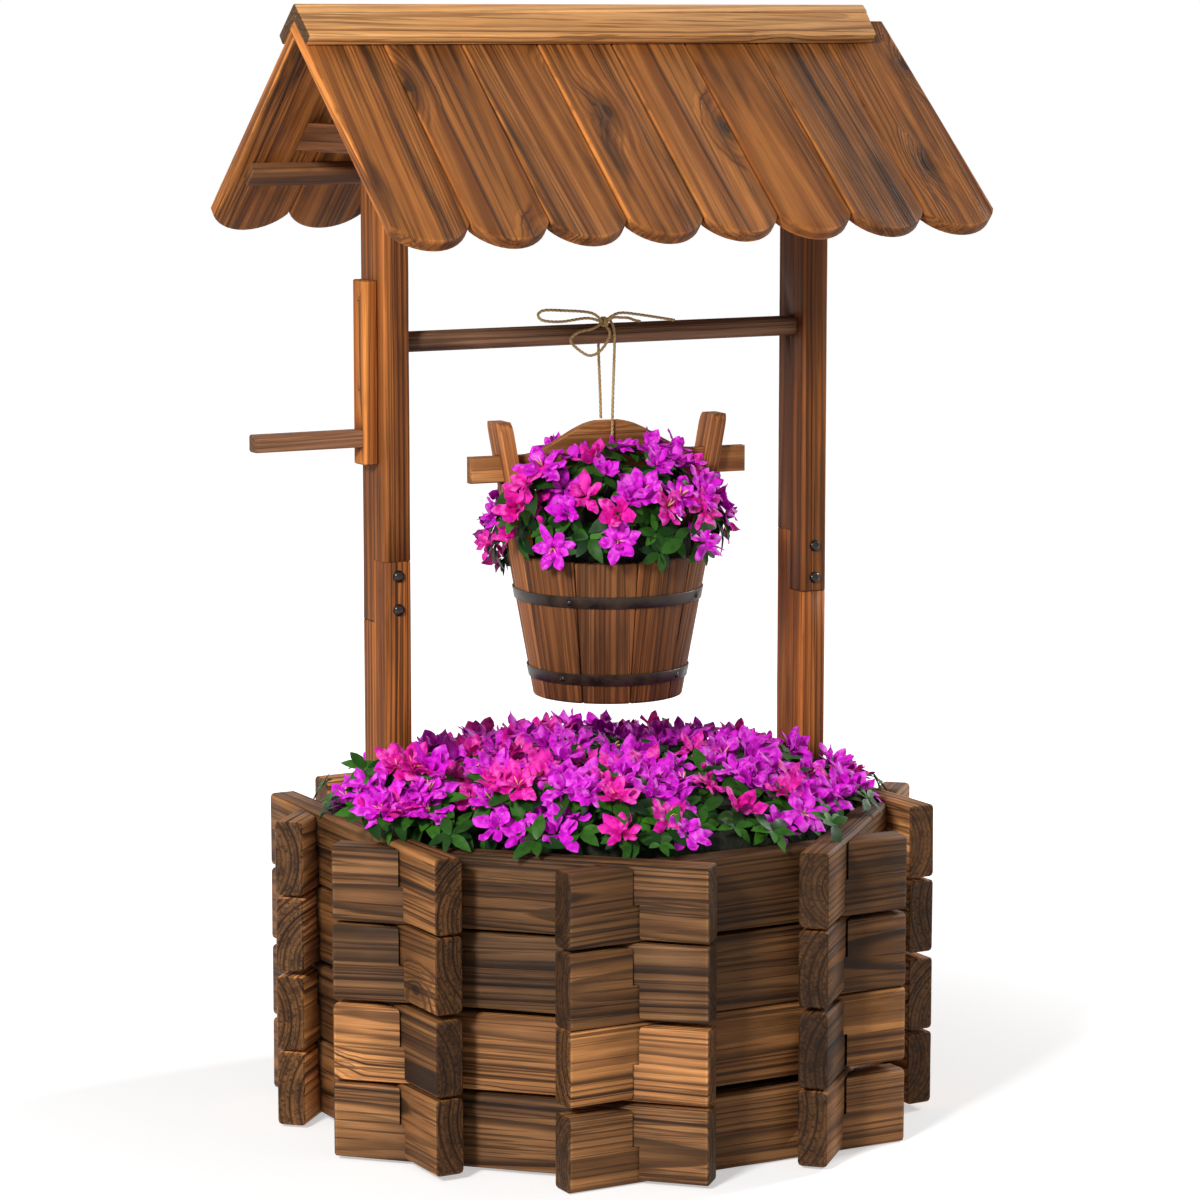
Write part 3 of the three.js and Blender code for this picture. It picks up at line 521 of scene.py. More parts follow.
# Posts. Two squared lengths on each side, halved over each other and bolted
# through with two black domed bolts. They stand inside the end walls.
POST_CENTRE = 0.24445
POST_HALF = (0.29, 0.0265, 0.01425)
post_wood = wood_finish(
    "post_wood", (168, 104, 54), (106, 61, 32), (32, 18, 11), POST_HALF, wear_and_highlight=0.35,
    Ring_Width=0.0052, Lines=0.9, Char=0.55, Knots=0.05, Sway=0.4,
)
POST_TONES = {
    "left_post_lower": (0.45, 0.8), "left_post_upper": (0.1, 0.6),
    "right_post_lower": (0.75, 0.7), "right_post_upper": (-0.2, 0.5),
}
for node, tone in POST_TONES.items():
    centre = box_middle(node)
    post = cad_shape(node)
    lay_grain(post, centre, ALONG_Z, ALONG_Y, dice, pith=(0.025, 0.06), lean=0.012, tone=tone)
    hew(post, centre, ALONG_Z, POST_HALF[0], HEWN_ROWS, POST_WANDER, len(node))
    finish_piece(f"{node}_length", post, post_wood, "well", [node])

black_steel, steel_tree, steel_shader = new_finish("black_bolt_steel", Metallic=0.6)
steel_mottle = cloud(steel_tree, object_place(steel_tree), 260, 3)
steel_colour = mix_colour(steel_tree, steel_mottle, rgb(22, 20, 20), rgb(58, 52, 48))
paint(steel_tree, steel_shader, steel_colour, rise(steel_tree, steel_mottle, 0.3, 0.7, 0.14, 0.32))


def round_profile(bm, points, axis, centre, steps):
    """Turns a profile, given as distance from the axis and place along it, into a closed solid."""
    axis = Vector(axis).normalized()
    side = axis.orthogonal().normalized()
    verts = [bm.verts.new(Vector(centre) + side * radius + axis * place) for radius, place in points]
    edges = [bm.edges.new(pair) for pair in zip(verts, verts[1:])]
    bmesh.ops.spin(
        bm, geom=verts + edges, cent=centre, axis=axis, angle=2 * math.pi, steps=steps, use_merge=True
    )
    bmesh.ops.remove_doubles(bm, verts=bm.verts[:], dist=1e-6)
    turn_faces_out(bm)


BOLT_PROFILE = [
    (0, -0.0306), (0.0022, -0.0304), (0.0045, -0.0296), (0.0058, -0.0281), (0.0062, -0.0268),
    (0.003, -0.0268), (0.003, 0.0268), (0.0058, 0.0268), (0.0058, 0.0306), (0.0032, 0.0308),
    (0.003, 0.0298), (0, 0.0298),
]
for side_name in ("left", "right"):
    for number in (1, 2):
        node = f"{side_name}_post_bolt_{number}"
        centre = box_middle(node)
        centre.y = 0
        bolt = bmesh.new()
        round_profile(bolt, BOLT_PROFILE, ALONG_Y, centre, 20)
        name = f"{side_name}_post_dome_bolt_{number}"
        finish_piece(name, bolt, black_steel, "well", [node], 40)


# Rod. A dark round bar whose ends sit in blind holes in the posts. The bucket's
# twine is tied round it.
rod_wood = wood_finish(
    "rod_wood", (146, 110, 86), (92, 64, 48), (36, 23, 17), (0.27, 0.02, 0.02), wear_and_highlight=0,
    Ring_Width=0.004, Lines=0.7, Char=0.7, Knots=0.0,
)
cad_board(
    "rod", "turning_rod", rod_wood, "rod", "dark_wood", ALONG_X, ALONG_Y, dice,
    pith=(0.012, 0.03), lean=0.012, tone=(0.25, 0.3),
)


# Crank. A flat arm, screwed to the outer face of the near post with two sunk
# black screws, and a square handle let into its foot. Both are lighter fir.
CRANK_SCREW_HEIGHTS = (0.85, 0.761)
CRANK_FACE = -0.274
crank_wood = wood_finish(
    "crank_wood", (206, 134, 72), (160, 94, 46), (74, 42, 22), (0.092, 0.01325, 0.0075), wear_and_highlight=0.3,
    Ring_Width=0.0042, Lines=0.7, Char=0.3, Knots=0.0, Sway=0.5,
)
handle_wood = wood_finish(
    "crank_handle_wood", (184, 134, 100), (138, 94, 68), (66, 42, 30), (0.0624, 0.0087, 0.0087), wear_and_highlight=0.3,
    Ring_Width=0.0042, Lines=0.6, Char=0.3, Knots=0.0, Sway=0.5,
)
cad_board(
    "crank_arm", "crank_arm_board", crank_wood, "well", "crank_wood", ALONG_Z, ALONG_Y, dice,
    pith=(0.03, 0.05), tone=(0, 0.7),
)
cad_board(
    "crank_handle", "crank_handle_bar", handle_wood, "well", "crank_wood", ALONG_X, ALONG_Y, dice,
    pith=(0.03, 0.05), tone=(-0.15, 0.2),
)
SCREW_PROFILE = [
    (0, -0.004), (0.0015, -0.004), (0.0024, 0.0007), (0.0021, 0.001), (0.0009, 0.0009), (0.0006, 0.0003),
    (0, 0.0002),
]
for number, height in enumerate(CRANK_SCREW_HEIGHTS, 1):
    screw = bmesh.new()
    round_profile(screw, SCREW_PROFILE, (-1, 0, 0), (CRANK_FACE + 0.0012, 0, height), 16)
    finish_piece(f"crank_screw_{number}", screw, black_steel, "well", (), 40)


# Roof. Eight boards on each slope, with rounded tails, nailed to one batten.
# The boards are drawn lying flat, their length down the slope, and then tipped
# onto the ridge.
PITCH = math.radians(41.7)
RIDGE_HEIGHT = 1.1258
ROOF_LENGTH = 0.682
ROOF_BOARDS = 8
ROOF_BOARD_THICKNESS = 0.013
ROOF_BOARD_GAP = 0.0018
ROOF_STRAIGHT = 0.2835
ROOF_TAIL = 0.024
ROOF_BOARD_HALF = (0.17, 0.0418, 0.0065)
BATTEN_SIZE = (0.024, 0.654, 0.012)
BATTEN_PLACE = (0.21, 0, -0.0195)
ROOF_TONES = [
    (0, 0.85), (-0.2, 0.6), (0.05, 0.9), (0.3, 0.6), (0.15, 0.8), (0.05, 0.6), (0, 0.75), (0.1, 0.85),
]
roof_wood = wood_finish(
    "roof_wood", (176, 116, 64), (116, 69, 36), (32, 20, 13), ROOF_BOARD_HALF, wear_and_highlight=0.85, end_dark=0.2,
    Ring_Width=0.0042, Lines=0.85, Char=0.9, Knots=0.6, Sway=0.3, Calm=0.8,
)
batten_wood = wood_finish(
    "batten_wood", (130, 92, 64), (92, 60, 40), (44, 28, 20), (0.33, 0.012, 0.006),
    Ring_Width=0.005, Knots=0.05,
)


def onto_slope(side):
    """The turn from the flat drawing to the front slope, -1, or the back one, 1."""
    turn = Matrix.Rotation(math.pi if side < 0 else 0, 4, "Z")
    return turn @ Matrix.Rotation(-PITCH, 4, "X") @ Matrix.Rotation(math.pi / 2, 4, "Z")


def move(bm, matrix):
    bmesh.ops.transform(bm, matrix=matrix, verts=bm.verts[:])


def trim(bm, point, normal):
    """Cuts off what lies on the normal's side of a plane, and closes the cut."""
    cut = saw(bm, point, normal, clear_outer=True)["geom_cut"]
    bmesh.ops.edgeloop_fill(bm, edges=[item for item in cut if isinstance(item, bmesh.types.BMEdge)])


def soften(bm, offset, segments=2, angle=50):
    """Rounds every edge that is sharper than the angle."""
    sharp = [edge for edge in bm.edges if edge.is_manifold and edge.calc_face_angle() > math.radians(angle)]
    bmesh.ops.bevel(
        bm, geom=sharp, offset=offset, segments=segments, profile=0.5, affect="EDGES", material=-1,
        clamp_overlap=True,
    )


def roof_board(number, dice, tone):
    """One board, lying flat: x runs down the slope and z is out of the roof."""
    bm = new_boards()
    pitch = ROOF_LENGTH / ROOF_BOARDS
    half = (pitch - ROOF_BOARD_GAP) / 2
    across = (number - (ROOF_BOARDS - 1) / 2) * pitch
    radius = (half * half + ROOF_TAIL * ROOF_TAIL) / (2 * ROOF_TAIL)
    spread = math.asin(half / radius)
    hub = Vector((ROOF_STRAIGHT + ROOF_TAIL - radius, 0, 0))
    start = bm.verts.new(hub + Vector((radius * math.cos(spread), -half, 0)))
    bmesh.ops.spin(bm, geom=[start], cent=hub, axis=ALONG_Z, angle=2 * spread, steps=14)
    run = bmesh.ops.extrude_edge_only(bm, edges=bm.edges[:])
    bmesh.ops.translate(bm, verts=verts_in(run["geom"]), vec=(-0.36, 0, 0))
    for step in range(9):
        saw(bm, (0.28 - 0.035 * step, 0, 0), ALONG_X)
    bmesh.ops.solidify(bm, geom=bm.faces[:], thickness=ROOF_BOARD_THICKNESS)
    turn_faces_out(bm)
    top = max(vert.co.z for vert in bm.verts)
    move(bm, Matrix.Translation((0, across, -top)))
    soften(bm, 0.0016)
    centre = (0.14, across, -ROOF_BOARD_THICKNESS / 2)
    lay_grain(bm, centre, ALONG_X, ALONG_Y, dice, pith=(0.035, 0.08), aside=(0, 0.11), lean=0.03, tone=tone)
    cup, twist = dice.uniform(-0.0005, 0.0008), dice.uniform(-0.0009, 0.0009)
    place_layer, tone_layer = board_layers(bm, "place", "tone")
    for vert in bm.verts:
        sideways = (vert.co.y - across) / half
        # The outer side of each gable board is painted paler: a painted highlight along the roof's edge.
        if sideways * (2 * number / (ROOF_BOARDS - 1) - 1) > 0.995:
            vert[tone_layer].x += 0.9
        from_hub = math.hypot(vert.co.x - hub.x, vert.co.y - across)
        if vert.co.x > ROOF_STRAIGHT - 0.002 and from_hub > radius - 0.004:
            vert[place_layer].x = ROOF_BOARD_HALF[0] - (radius - from_hub)
        down_slope = min(1, max(0, vert.co.x / 0.2))
        vert.co.z += (cup * sideways + twist) * sideways * down_slope - 0.0008
    return bm


def pour(whole, part):
    """Adds a finished part's mesh to a whole, and lets go of the part."""
    sheet = bpy.data.meshes.new("part")
    part.to_mesh(sheet)
    part.free()
    whole.from_mesh(sheet)
    bpy.data.meshes.remove(sheet)


def gather(parts, place=Matrix()):
    """Puts several boards into one mesh and sets it in its place."""
    whole = new_boards()
    for part in parts:
        pour(whole, part)
    move(whole, place)
    return whole


def roof_slope(side, name, node, dice):
    ridge = Matrix.Translation((0, 0, RIDGE_HEIGHT))
    out_of_other = onto_slope(-side) @ Vector(ALONG_Z)
    lap = 0.0004 if side < 0 else ROOF_BOARD_THICKNESS + 0.0006
    boards = []
    for number in range(ROOF_BOARDS):
        mirrored = ROOF_BOARDS - 1 - number
        tone = ROOF_TONES[number if side < 0 else mirrored]
        board = roof_board(number if side > 0 else mirrored, dice, tone)
        move(board, ridge @ onto_slope(side))
        trim(board, ridge @ (out_of_other * -lap), out_of_other)
        boards.append(board)
    finish_piece(name, gather(boards), roof_wood, "well", [node], 30)
    batten = new_boards()
    bmesh.ops.create_cube(batten, size=1)
    move(batten, Matrix.Translation(BATTEN_PLACE) @ Matrix.Diagonal((*BATTEN_SIZE, 1)))
    soften(batten, 0.0015)
    lay_grain(batten, BATTEN_PLACE, ALONG_Y, ALONG_X, dice)
    move(batten, ridge @ onto_slope(side))
    finish_piece(name + "_batten", batten, batten_wood, "well")


roof_dice = random.Random(5)
roof_slope(-1, "front_roof_boards", "roof_panel_front", roof_dice)
roof_slope(1, "back_roof_boards", "roof_panel_back", roof_dice)


# Ridge cap. Two pale boards over the ridge, the back one lapping over the top
# edge of the front one. Both are ripped a little narrower than the solids.
CAP_HALF = (0.33, 0.018, 0.006)
CAP_RIPPED_OFF = 0.022
cap_wood = wood_finish(
    "ridge_cap_wood", (232, 180, 124), (200, 142, 88), (92, 54, 30), CAP_HALF, wear_and_highlight=0.2, end_dark=0.86,
    Ring_Width=0.0054, Lines=0.85, Char=0.35, Knots=0.15, Sway=0.9,
)


def square_ends(bm, half):
    """Lets a board's skewed ends count as square ones in its end grain and in its edges, which are worn and
    carry a painted highlight.
    """
    place = bm.verts.layers.float_vector["place"]
    for sign in (-1, 1):
        verts = [vert for vert in bm.verts if vert[place].x * sign > 0]
        low, high = [
            max(verts, key=lambda vert: edge * vert[place].y * 9 + sign * vert[place].x) for edge in (-1, 1)
        ]
        skew = (high[place].x - low[place].x) / (high[place].y - low[place].y)
        far = max(sign * (vert[place].x - skew * vert[place].y) for vert in verts)
        for vert in verts:
            vert[place].x = sign * (half - far) + vert[place].x - skew * vert[place].y


for side_name, rise_towards, tone in (("front", 1, (0.05, 0.45)), ("back", -1, (0.25, 0.2))):
    node = f"ridge_cap_{side_name}"
    cap = cad_shape(node)
    up_slope = Vector((0, rise_towards * math.cos(PITCH), math.sin(PITCH)))
    foot = min(cap.verts, key=lambda vert: vert.co.dot(up_slope)).co + up_slope * CAP_RIPPED_OFF
    trim(cap, foot, -up_slope)
    soften(cap, 0.002)
    centre = box_middle(node) + up_slope * CAP_RIPPED_OFF / 2
    lay_grain(cap, centre, ALONG_X, up_slope, roof_dice, pith=(0.03, 0.06), lean=0.03, tone=tone)
    square_ends(cap, CAP_HALF[0])
    finish_piece(f"ridge_board_{side_name}", cap, cap_wood, "well", [node])


# Ties. A short dark beam across the outside of each post, cut to the pitch.
tie_wood = wood_finish(
    "tie_wood", (122, 80, 54), (84, 52, 36), (34, 21, 15), (0.126, 0.014, 0.012), Ring_Width=0.005, Char=0.6
)
for side_name in ("left", "right"):
    node = f"{side_name}_roof_tie"
    tie = cad_shape(node)
    soften(tie, 0.0012, angle=35)
    lay_grain(tie, box_middle(node), ALONG_Y, ALONG_Z, dice)
    finish_piece(f"{side_name}_tie_beam", tie, tie_wood, "well", [node])


# Bucket. Ten tapered staves on a round bottom. Two of them are thicker and run
# on up as ears, slotted for the carrying bar. The whole bucket hangs a little
# turned on its twine.
FOOT, RIM, EAR_TOP = 0.435, 0.584, 0.722
FOOT_RADIUS, RIM_RADIUS = 0.077, 0.104
STAVE_THICKNESS = 0.012
EAR_WIDTH, EAR_THICKNESS = 0.036, 0.016
SLOT_FOOT, SLOT_TOP, SLOT_HALF = 0.6575, 0.6873, 0.0066
STAVE_SHARES = (0.233, 0.23, 0.23, 0.307)
FLARE = (RIM_RADIUS - FOOT_RADIUS) / (RIM - FOOT)
stave_wood = wood_finish(
    "stave_wood", (158, 102, 60), (106, 64, 36), (36, 21, 13), (0.075, 0.03, 0.006), wear_and_highlight=0.2, end_dark=0.4,
    Ring_Width=0.0038, Lines=0.95, Char=0.5, Knots=0.0, Sway=0.3,
)
ear_wood = wood_finish(
    "ear_wood", (206, 138, 86), (154, 96, 58), (64, 38, 24), (0.1435, 0.018, 0.008), wear_and_highlight=0.35, end_dark=0.1,
    Ring_Width=0.0052, Lines=0.8, Char=0.3, Knots=0.0, Sway=0.5,
)


def outer_radius(height):
    return FOOT_RADIUS + (height - FOOT) * FLARE


def push_out(verts, by):
    """Moves points straight away from the bucket's axis."""
    for vert in verts:
        vert.co += Vector((vert.co.x, vert.co.y, 0)).normalized() * by


def stave(first, last, dice):
    """A stave between two angles. Its rim stands a little higher or lower than its neighbours'."""
    bm = new_boards()
    gap = 0.0006 / RIM_RADIUS
    start = bm.verts.new((FOOT_RADIUS * math.cos(first + gap), FOOT_RADIUS * math.sin(first + gap), FOOT))
    bmesh.ops.spin(bm, geom=[start], cent=(0, 0, 0), axis=ALONG_Z, angle=last - first - 2 * gap, steps=7)
    inner = bmesh.ops.extrude_edge_only(bm, edges=bm.edges[:])["geom"]
    push_out(verts_in(inner), -STAVE_THICKNESS)
    rise_by = RIM - FOOT + dice.uniform(-0.0014, 0.0004)
    shift = dice.uniform(-0.0006, 0.0003)
    rim = verts_in(bmesh.ops.extrude_face_region(bm, geom=bm.faces[:], use_keep_orig=True)["geom"])
    push_out(rim, rise_by * FLARE)
    bmesh.ops.translate(bm, verts=rim, vec=(0, 0, rise_by))
    push_out(bm.verts, shift)
    turn_faces_out(bm)
    soften(bm, 0.0012)
    middle = (first + last) / 2
    out = Vector((math.cos(middle), math.sin(middle), 0))
    centre = out * (RIM_RADIUS + FOOT_RADIUS) / 2 + Vector((0, 0, (RIM + FOOT) / 2))
    along = out * FLARE + Vector(ALONG_Z)
    lay_grain(bm, centre, along, Vector(ALONG_Z).cross(out), dice, pith=(0.02, 0.05))
    return bm


def ear(side, dice):
    """A tall stave: curved outside, flat inside, with rounded shoulders and a slot for the bar."""
    bm = new_boards()
    bmesh.ops.create_cube(bm, size=1)
    for vert in bm.verts:
        height = EAR_TOP if vert.co.z > 0 else FOOT
        inward = 0 if vert.co.x > 0 else EAR_THICKNESS
        vert.co = Vector((outer_radius(height) - inward, vert.co.y * EAR_WIDTH, height))
    for height in (0.5, 0.56, RIM, 0.62, SLOT_FOOT, SLOT_TOP):
        saw(bm, (0, 0, height), ALONG_Z)
    for sideways in (-0.012, -SLOT_HALF, SLOT_HALF, 0.012):
        saw(bm, (0, sideways, 0), ALONG_Y)
    window = [
        face for face in bm.faces
        if abs(face.normal.x) > 0.5 and abs(face.calc_center_median().y) < SLOT_HALF
        and SLOT_FOOT < face.calc_center_median().z < SLOT_TOP
    ]
    bmesh.ops.delete(bm, geom=window, context="FACES")
    bmesh.ops.bridge_loops(bm, edges=[edge for edge in bm.edges if edge.is_boundary])
    for vert in bm.verts:
        if vert.co.x > outer_radius(vert.co.z) - EAR_THICKNESS / 2:
            vert.co.x = math.sqrt(outer_radius(vert.co.z) ** 2 - vert.co.y ** 2)
    corners = [
        vert for vert in bm.verts
        if abs(vert.co.z - EAR_TOP) < 1e-5 and abs(abs(vert.co.y) - EAR_WIDTH / 2) < 1e-5
    ]
    shoulders = [edge for edge in bm.edges if all(vert in corners for vert in edge.verts)]
    bmesh.ops.bevel(bm, geom=shoulders, offset=0.0125, segments=6, profile=0.5, affect="EDGES", material=-1)
    soften(bm, 0.001, angle=40)
    turn_faces_out(bm)
    centre = (outer_radius(0.58) - EAR_THICKNESS / 2, 0, (FOOT + EAR_TOP) / 2)
    lay_grain(bm, centre, (FLARE, 0, 1), ALONG_Y, dice, pith=(0.02, 0.05), lean=0.015, tone=(0, 0.5))
    if side < 0:
        move(bm, Matrix.Rotation(math.pi, 4, "Z"))
    return bm


bucket_dice = random.Random(23)
ear_half_angle = math.asin(EAR_WIDTH / 2 / RIM_RADIUS)
staves = []
for start in (-math.pi, 0):
    angle = start + ear_half_angle
    for share in STAVE_SHARES:
        step = share * (math.pi - 2 * ear_half_angle)
        staves.append(stave(angle, angle + step, bucket_dice))
        angle += step
sides = gather(staves, BUCKET_PLACE)
finish_piece("bucket_sides", sides, stave_wood, "bucket", ["bucket_staves"], 30)
ears = gather([ear(-1, bucket_dice), ear(1, bucket_dice)], BUCKET_PLACE)
finish_piece("bucket_ears", ears, ear_wood, "bucket")
cad_board(
    "bucket_bottom", "bucket_bottom_board", stave_wood, "bucket", "bucket_wood", ALONG_X, ALONG_Y, bucket_dice
)


# Hoops. Two bands of dark iron strip, bent round the staves, each with small
# domed rivets.
HOOP_HEIGHT, HOOP_INNER, HOOP_OUTER = 0.012, 0.0005, 0.0017
HOOPS = {"upper": (0.536, (-137, -45, 45, 135)), "lower": (0.4545, (-147, -55, 35, 125))}
RIVET_RADIUS, RIVET_FLATNESS = 0.0031, 0.65
iron, iron_tree, iron_shader = new_finish("hoop_iron", Metallic=0.1, Specular_IOR_Level=0.3)
iron_mottle = cloud(iron_tree, object_place(iron_tree), 70, 5, 0.65)
iron_colour = mix_colour(iron_tree, rise(iron_tree, iron_mottle, 0.3, 0.7), rgb(26, 19, 14), rgb(64, 49, 37))
paint(iron_tree, iron_shader, iron_colour, rise(iron_tree, iron_mottle, 0.3, 0.7, 0.3, 0.48))
give_relief(iron_tree, iron_shader, iron_mottle, 0.0004, 0.3)
for hoop_name, (low, rivet_angles) in HOOPS.items():
    high = low + HOOP_HEIGHT
    corners = [(low, HOOP_INNER), (low, HOOP_OUTER), (high, HOOP_OUTER), (high, HOOP_INNER)]
    section = [(outer_radius(height) + proud, height) for height, proud in corners]
    hoop = bmesh.new()
    round_profile(hoop, section + section[:1], ALONG_Z, (0, 0, 0), 96)
    soften(hoop, 0.0004, segments=1)
    move(hoop, BUCKET_PLACE)
    node = f"bucket_hoop_{hoop_name}"
    finish_piece(f"{hoop_name}_iron_band", hoop, iron, "bucket", [node], 40)
    rivets = bmesh.new()
    height = (low + high) / 2
    seat = Matrix.Translation((outer_radius(height) + HOOP_OUTER, 0, height))
    seat @= Matrix.Diagonal((RIVET_FLATNESS, 1, 1, 1))
    for angle in rivet_angles:
        place = Matrix.Rotation(math.radians(angle), 4, "Z") @ seat
        bmesh.ops.create_uvsphere(rivets, u_segments=14, v_segments=8, radius=RIVET_RADIUS, matrix=place)
    move(rivets, BUCKET_PLACE)
    finish_piece(f"{hoop_name}_band_rivets", rivets, black_steel, "bucket", (), 60)


# Carrying bar. A flat board through the slots in the ears. Its middle is arched
# below and rises to a rounded hump above.
BAR_SHOULDER, BAR_TOP, BAR_ARCH_HALF = 0.687, 0.719, 0.105
bar_wood = wood_finish(
    "bar_wood", (206, 146, 92), (156, 102, 60), (60, 36, 23), (0.154, 0.03, 0.006), wear_and_highlight=0.3, end_dark=0.2,
    Ring_Width=0.006, Lines=0.6, Char=0.6, Knots=0.2,
)
bar = cad_shape("bucket_bar")
bar_along = BUCKET_PLACE.to_3x3() @ Vector(ALONG_X)
for step in range(-17, 18):
    saw(bar, BUCKET_PLACE.translation + bar_along * 0.006 * step, bar_along)
for vert in bar.verts:
    out = abs((vert.co - BUCKET_PLACE.translation).dot(bar_along))
    if vert.co.z > BAR_SHOULDER and out < BAR_ARCH_HALF:
        share = min(1, max(0, (0.095 - out) / 0.085))
        hump = share * share * (3 - 2 * share)
        vert.co.z += (BAR_TOP - BAR_SHOULDER) * (hump - 1 + (out / BAR_ARCH_HALF) ** 2)
lay_grain(bar, box_middle("bucket_bar"), bar_along, ALONG_Z, bucket_dice, tone=(-0.15, 0.5))
finish_piece("carrying_bar", bar, bar_wood, "bucket", ["bucket_bar"])


# Planting. Azaleas in dark soil: rosettes of glossy leaves, double magenta and
# pink flowers, half-open ones and buds. Each blade is a flattened, bent ball.
PETAL_LENGTH, PETAL_WIDTH = 0.0265, 0.0145
LEAF_SIZES = ((0.031, 0.0155, 0.25), (0.026, 0.013, 0.12), (0.035, 0.017, 0.4))
WALL_INSIDE = 0.259
GOLDEN_TURN = 2.39996


def blade(length, width, thickness, widest, fold, droop, ruffle=0.0, phase=0.0, rows=6):
    """A closed, pointed blade along +Y from the origin, with its fold along its middle."""
    bm = bmesh.new()
    bmesh.ops.create_uvsphere(bm, u_segments=8, v_segments=rows, radius=1)
    move(bm, Matrix.Rotation(-math.pi / 2, 4, "X"))
    for vert in bm.verts:
        t = (vert.co.y + 1) / 2
        round_width = math.sqrt(max(1e-9, 4 * t * (1 - t)))
        pointed = math.sin(math.pi * t ** widest) ** 0.85 if 0 < t < 1 else 0
        x = vert.co.x / round_width * pointed * width / 2 if 0.001 < t < 0.999 else 0
        z = vert.co.z * thickness / 2 + fold * abs(x) - droop * t * t * length
        vert.co = Vector((x, t * length, z + ruffle * length * math.sin(8 * t + phase) * 2 * x / width))
    return bm


def shape_of(parts, tints):
    """Joins small parts into a mesh that can be copied many times, each part with its own tint."""
    whole = bmesh.new()
    whole.verts.layers.float.new("tint")
    for part, value in zip(parts, tints):
        layer = part.verts.layers.float.new("tint")
        for vert in part.verts:
            vert[layer] = value
        pour(whole, part)
    mesh = bpy.data.meshes.new("shape")
    whole.to_mesh(mesh)
    whole.free()
    return mesh


def turned(bm, turn, tilt, out=0.0, scale=1.0):
    pose = Matrix.Rotation(math.radians(turn), 4, "Z") @ Matrix.Translation((0, out, 0))
    move(bm, pose @ Matrix.Rotation(math.radians(tilt), 4, "X") @ Matrix.Scale(scale, 4))
    return bm


def leaf_rosette(dice):
    leaves, count = [], dice.choice((5, 6, 6, 7))
    for number in range(count):
        length, width, droop = dice.choice(LEAF_SIZES)
        leaf = blade(length, width, 0.0009, 0.9, 0.22, droop)
        turn = 360 * (number + dice.uniform(-0.3, 0.3)) / count
        leaves.append(turned(leaf, turn, dice.uniform(-20, 26), 0.001, dice.uniform(0.75, 1.08)))
    return shape_of(leaves, [dice.random() ** 1.5 for leaf in leaves])


def flower(outer, inner, opening, stamens, dice):
    """A loose double flower: outer petals, smaller ones in its throat and perhaps a few stamens."""
    parts, tints = [], []
    for count, reach, tilt, offset in ((outer, 1.0, opening, 0), (inner, 0.76, opening + 28, 30)):
        for number in range(count):
            length = PETAL_LENGTH * reach * dice.uniform(0.86, 1.14)
            width = PETAL_WIDTH * reach * dice.uniform(0.85, 1.12)
            droop, phase = dice.uniform(0.05, 0.5), dice.uniform(0, 6)
            petal = blade(length, width, 0.0008, 1.15, -0.35, droop, 0.12, phase, 8)
            turn = offset + 360 * number / count + dice.uniform(-16, 16)
            parts.append(turned(petal, turn, tilt + dice.uniform(-20, 18), 0.0015))
            tints.append(dice.random())
    for number in range(stamens):
        stamen = blade(0.013, 0.0016, 0.0012, 1, 0, 0.1)
        parts.append(turned(stamen, dice.uniform(0, 360), dice.uniform(55, 85)))
        tints.append(3)
    return shape_of(parts, tints)


def bud(dice):
    body = turned(blade(0.015, 0.0075, 0.0065, 1.2, 0, 0), 0, 90)
    return shape_of([body], [dice.random()])


def petal_finish(name, deep, bright, pale):
    material, tree, shader = new_finish(name, Specular_IOR_Level=0.25)
    tint = add_node(tree, "Attribute", attribute_name="tint").outputs["Fac"]
    vein = cloud(tree, object_place(tree), 150, 3)
    paler = times(tree, rise(tree, tint, 0, 1), rise(tree, vein, 0.42, 0.75))
    colour = mix_colour(tree, rise(tree, vein, 0.3, 0.6), rgb(*deep), rgb(*bright))
    colour = mix_colour(tree, paler, colour, rgb(*pale))
    colour = mix_colour(tree, calc(tree, "GREATER_THAN", tint, 2.0), colour, rgb(238, 206, 128))
    paint(tree, shader, colour, rise(tree, vein, 0.2, 0.8, 0.4, 0.65))
    give_relief(tree, shader, vein, 0.0005, 0.4)
    return material


leaf_green, leaf_tree, leaf_shader = new_finish("azalea_leaves", Specular_IOR_Level=0.15)
leaf_tint = add_node(leaf_tree, "Attribute", attribute_name="tint").outputs["Fac"]
leaf_mottle = cloud(leaf_tree, object_place(leaf_tree), 120, 3)
leaf_colour = mix_colour(leaf_tree, leaf_tint, rgb(7, 38, 9), rgb(66, 122, 34))
leaf_shade = rise(leaf_tree, leaf_mottle, 0.4, 0.7, 0, 0.5)
leaf_colour = mix_colour(leaf_tree, leaf_shade, leaf_colour, rgb(8, 50, 16))
paint(leaf_tree, leaf_shader, leaf_colour, rise(leaf_tree, leaf_mottle, 0.3, 0.7, 0.4, 0.58))
soil, soil_tree, soil_shader = new_finish("dark_soil", Roughness=0.95)
soil_crumb = cloud(soil_tree, object_place(soil_tree), 150, 6)
soil_colour = mix_colour(soil_tree, rise(soil_tree, soil_crumb, 0.35, 0.7), rgb(12, 18, 8), rgb(36, 40, 20))
paint(soil_tree, soil_shader, soil_colour)
give_relief(soil_tree, soil_shader, soil_crumb, 0.004, 1.0)
PLANT_FINISHES = {
    "leaves": leaf_green,
    "magenta_flowers": petal_finish("magenta_petals", (188, 12, 184), (240, 34, 232), (248, 124, 240)),
    "pink_flowers": petal_finish("pink_petals", (204, 6, 140), (246, 34, 188), (255, 120, 212)),
}

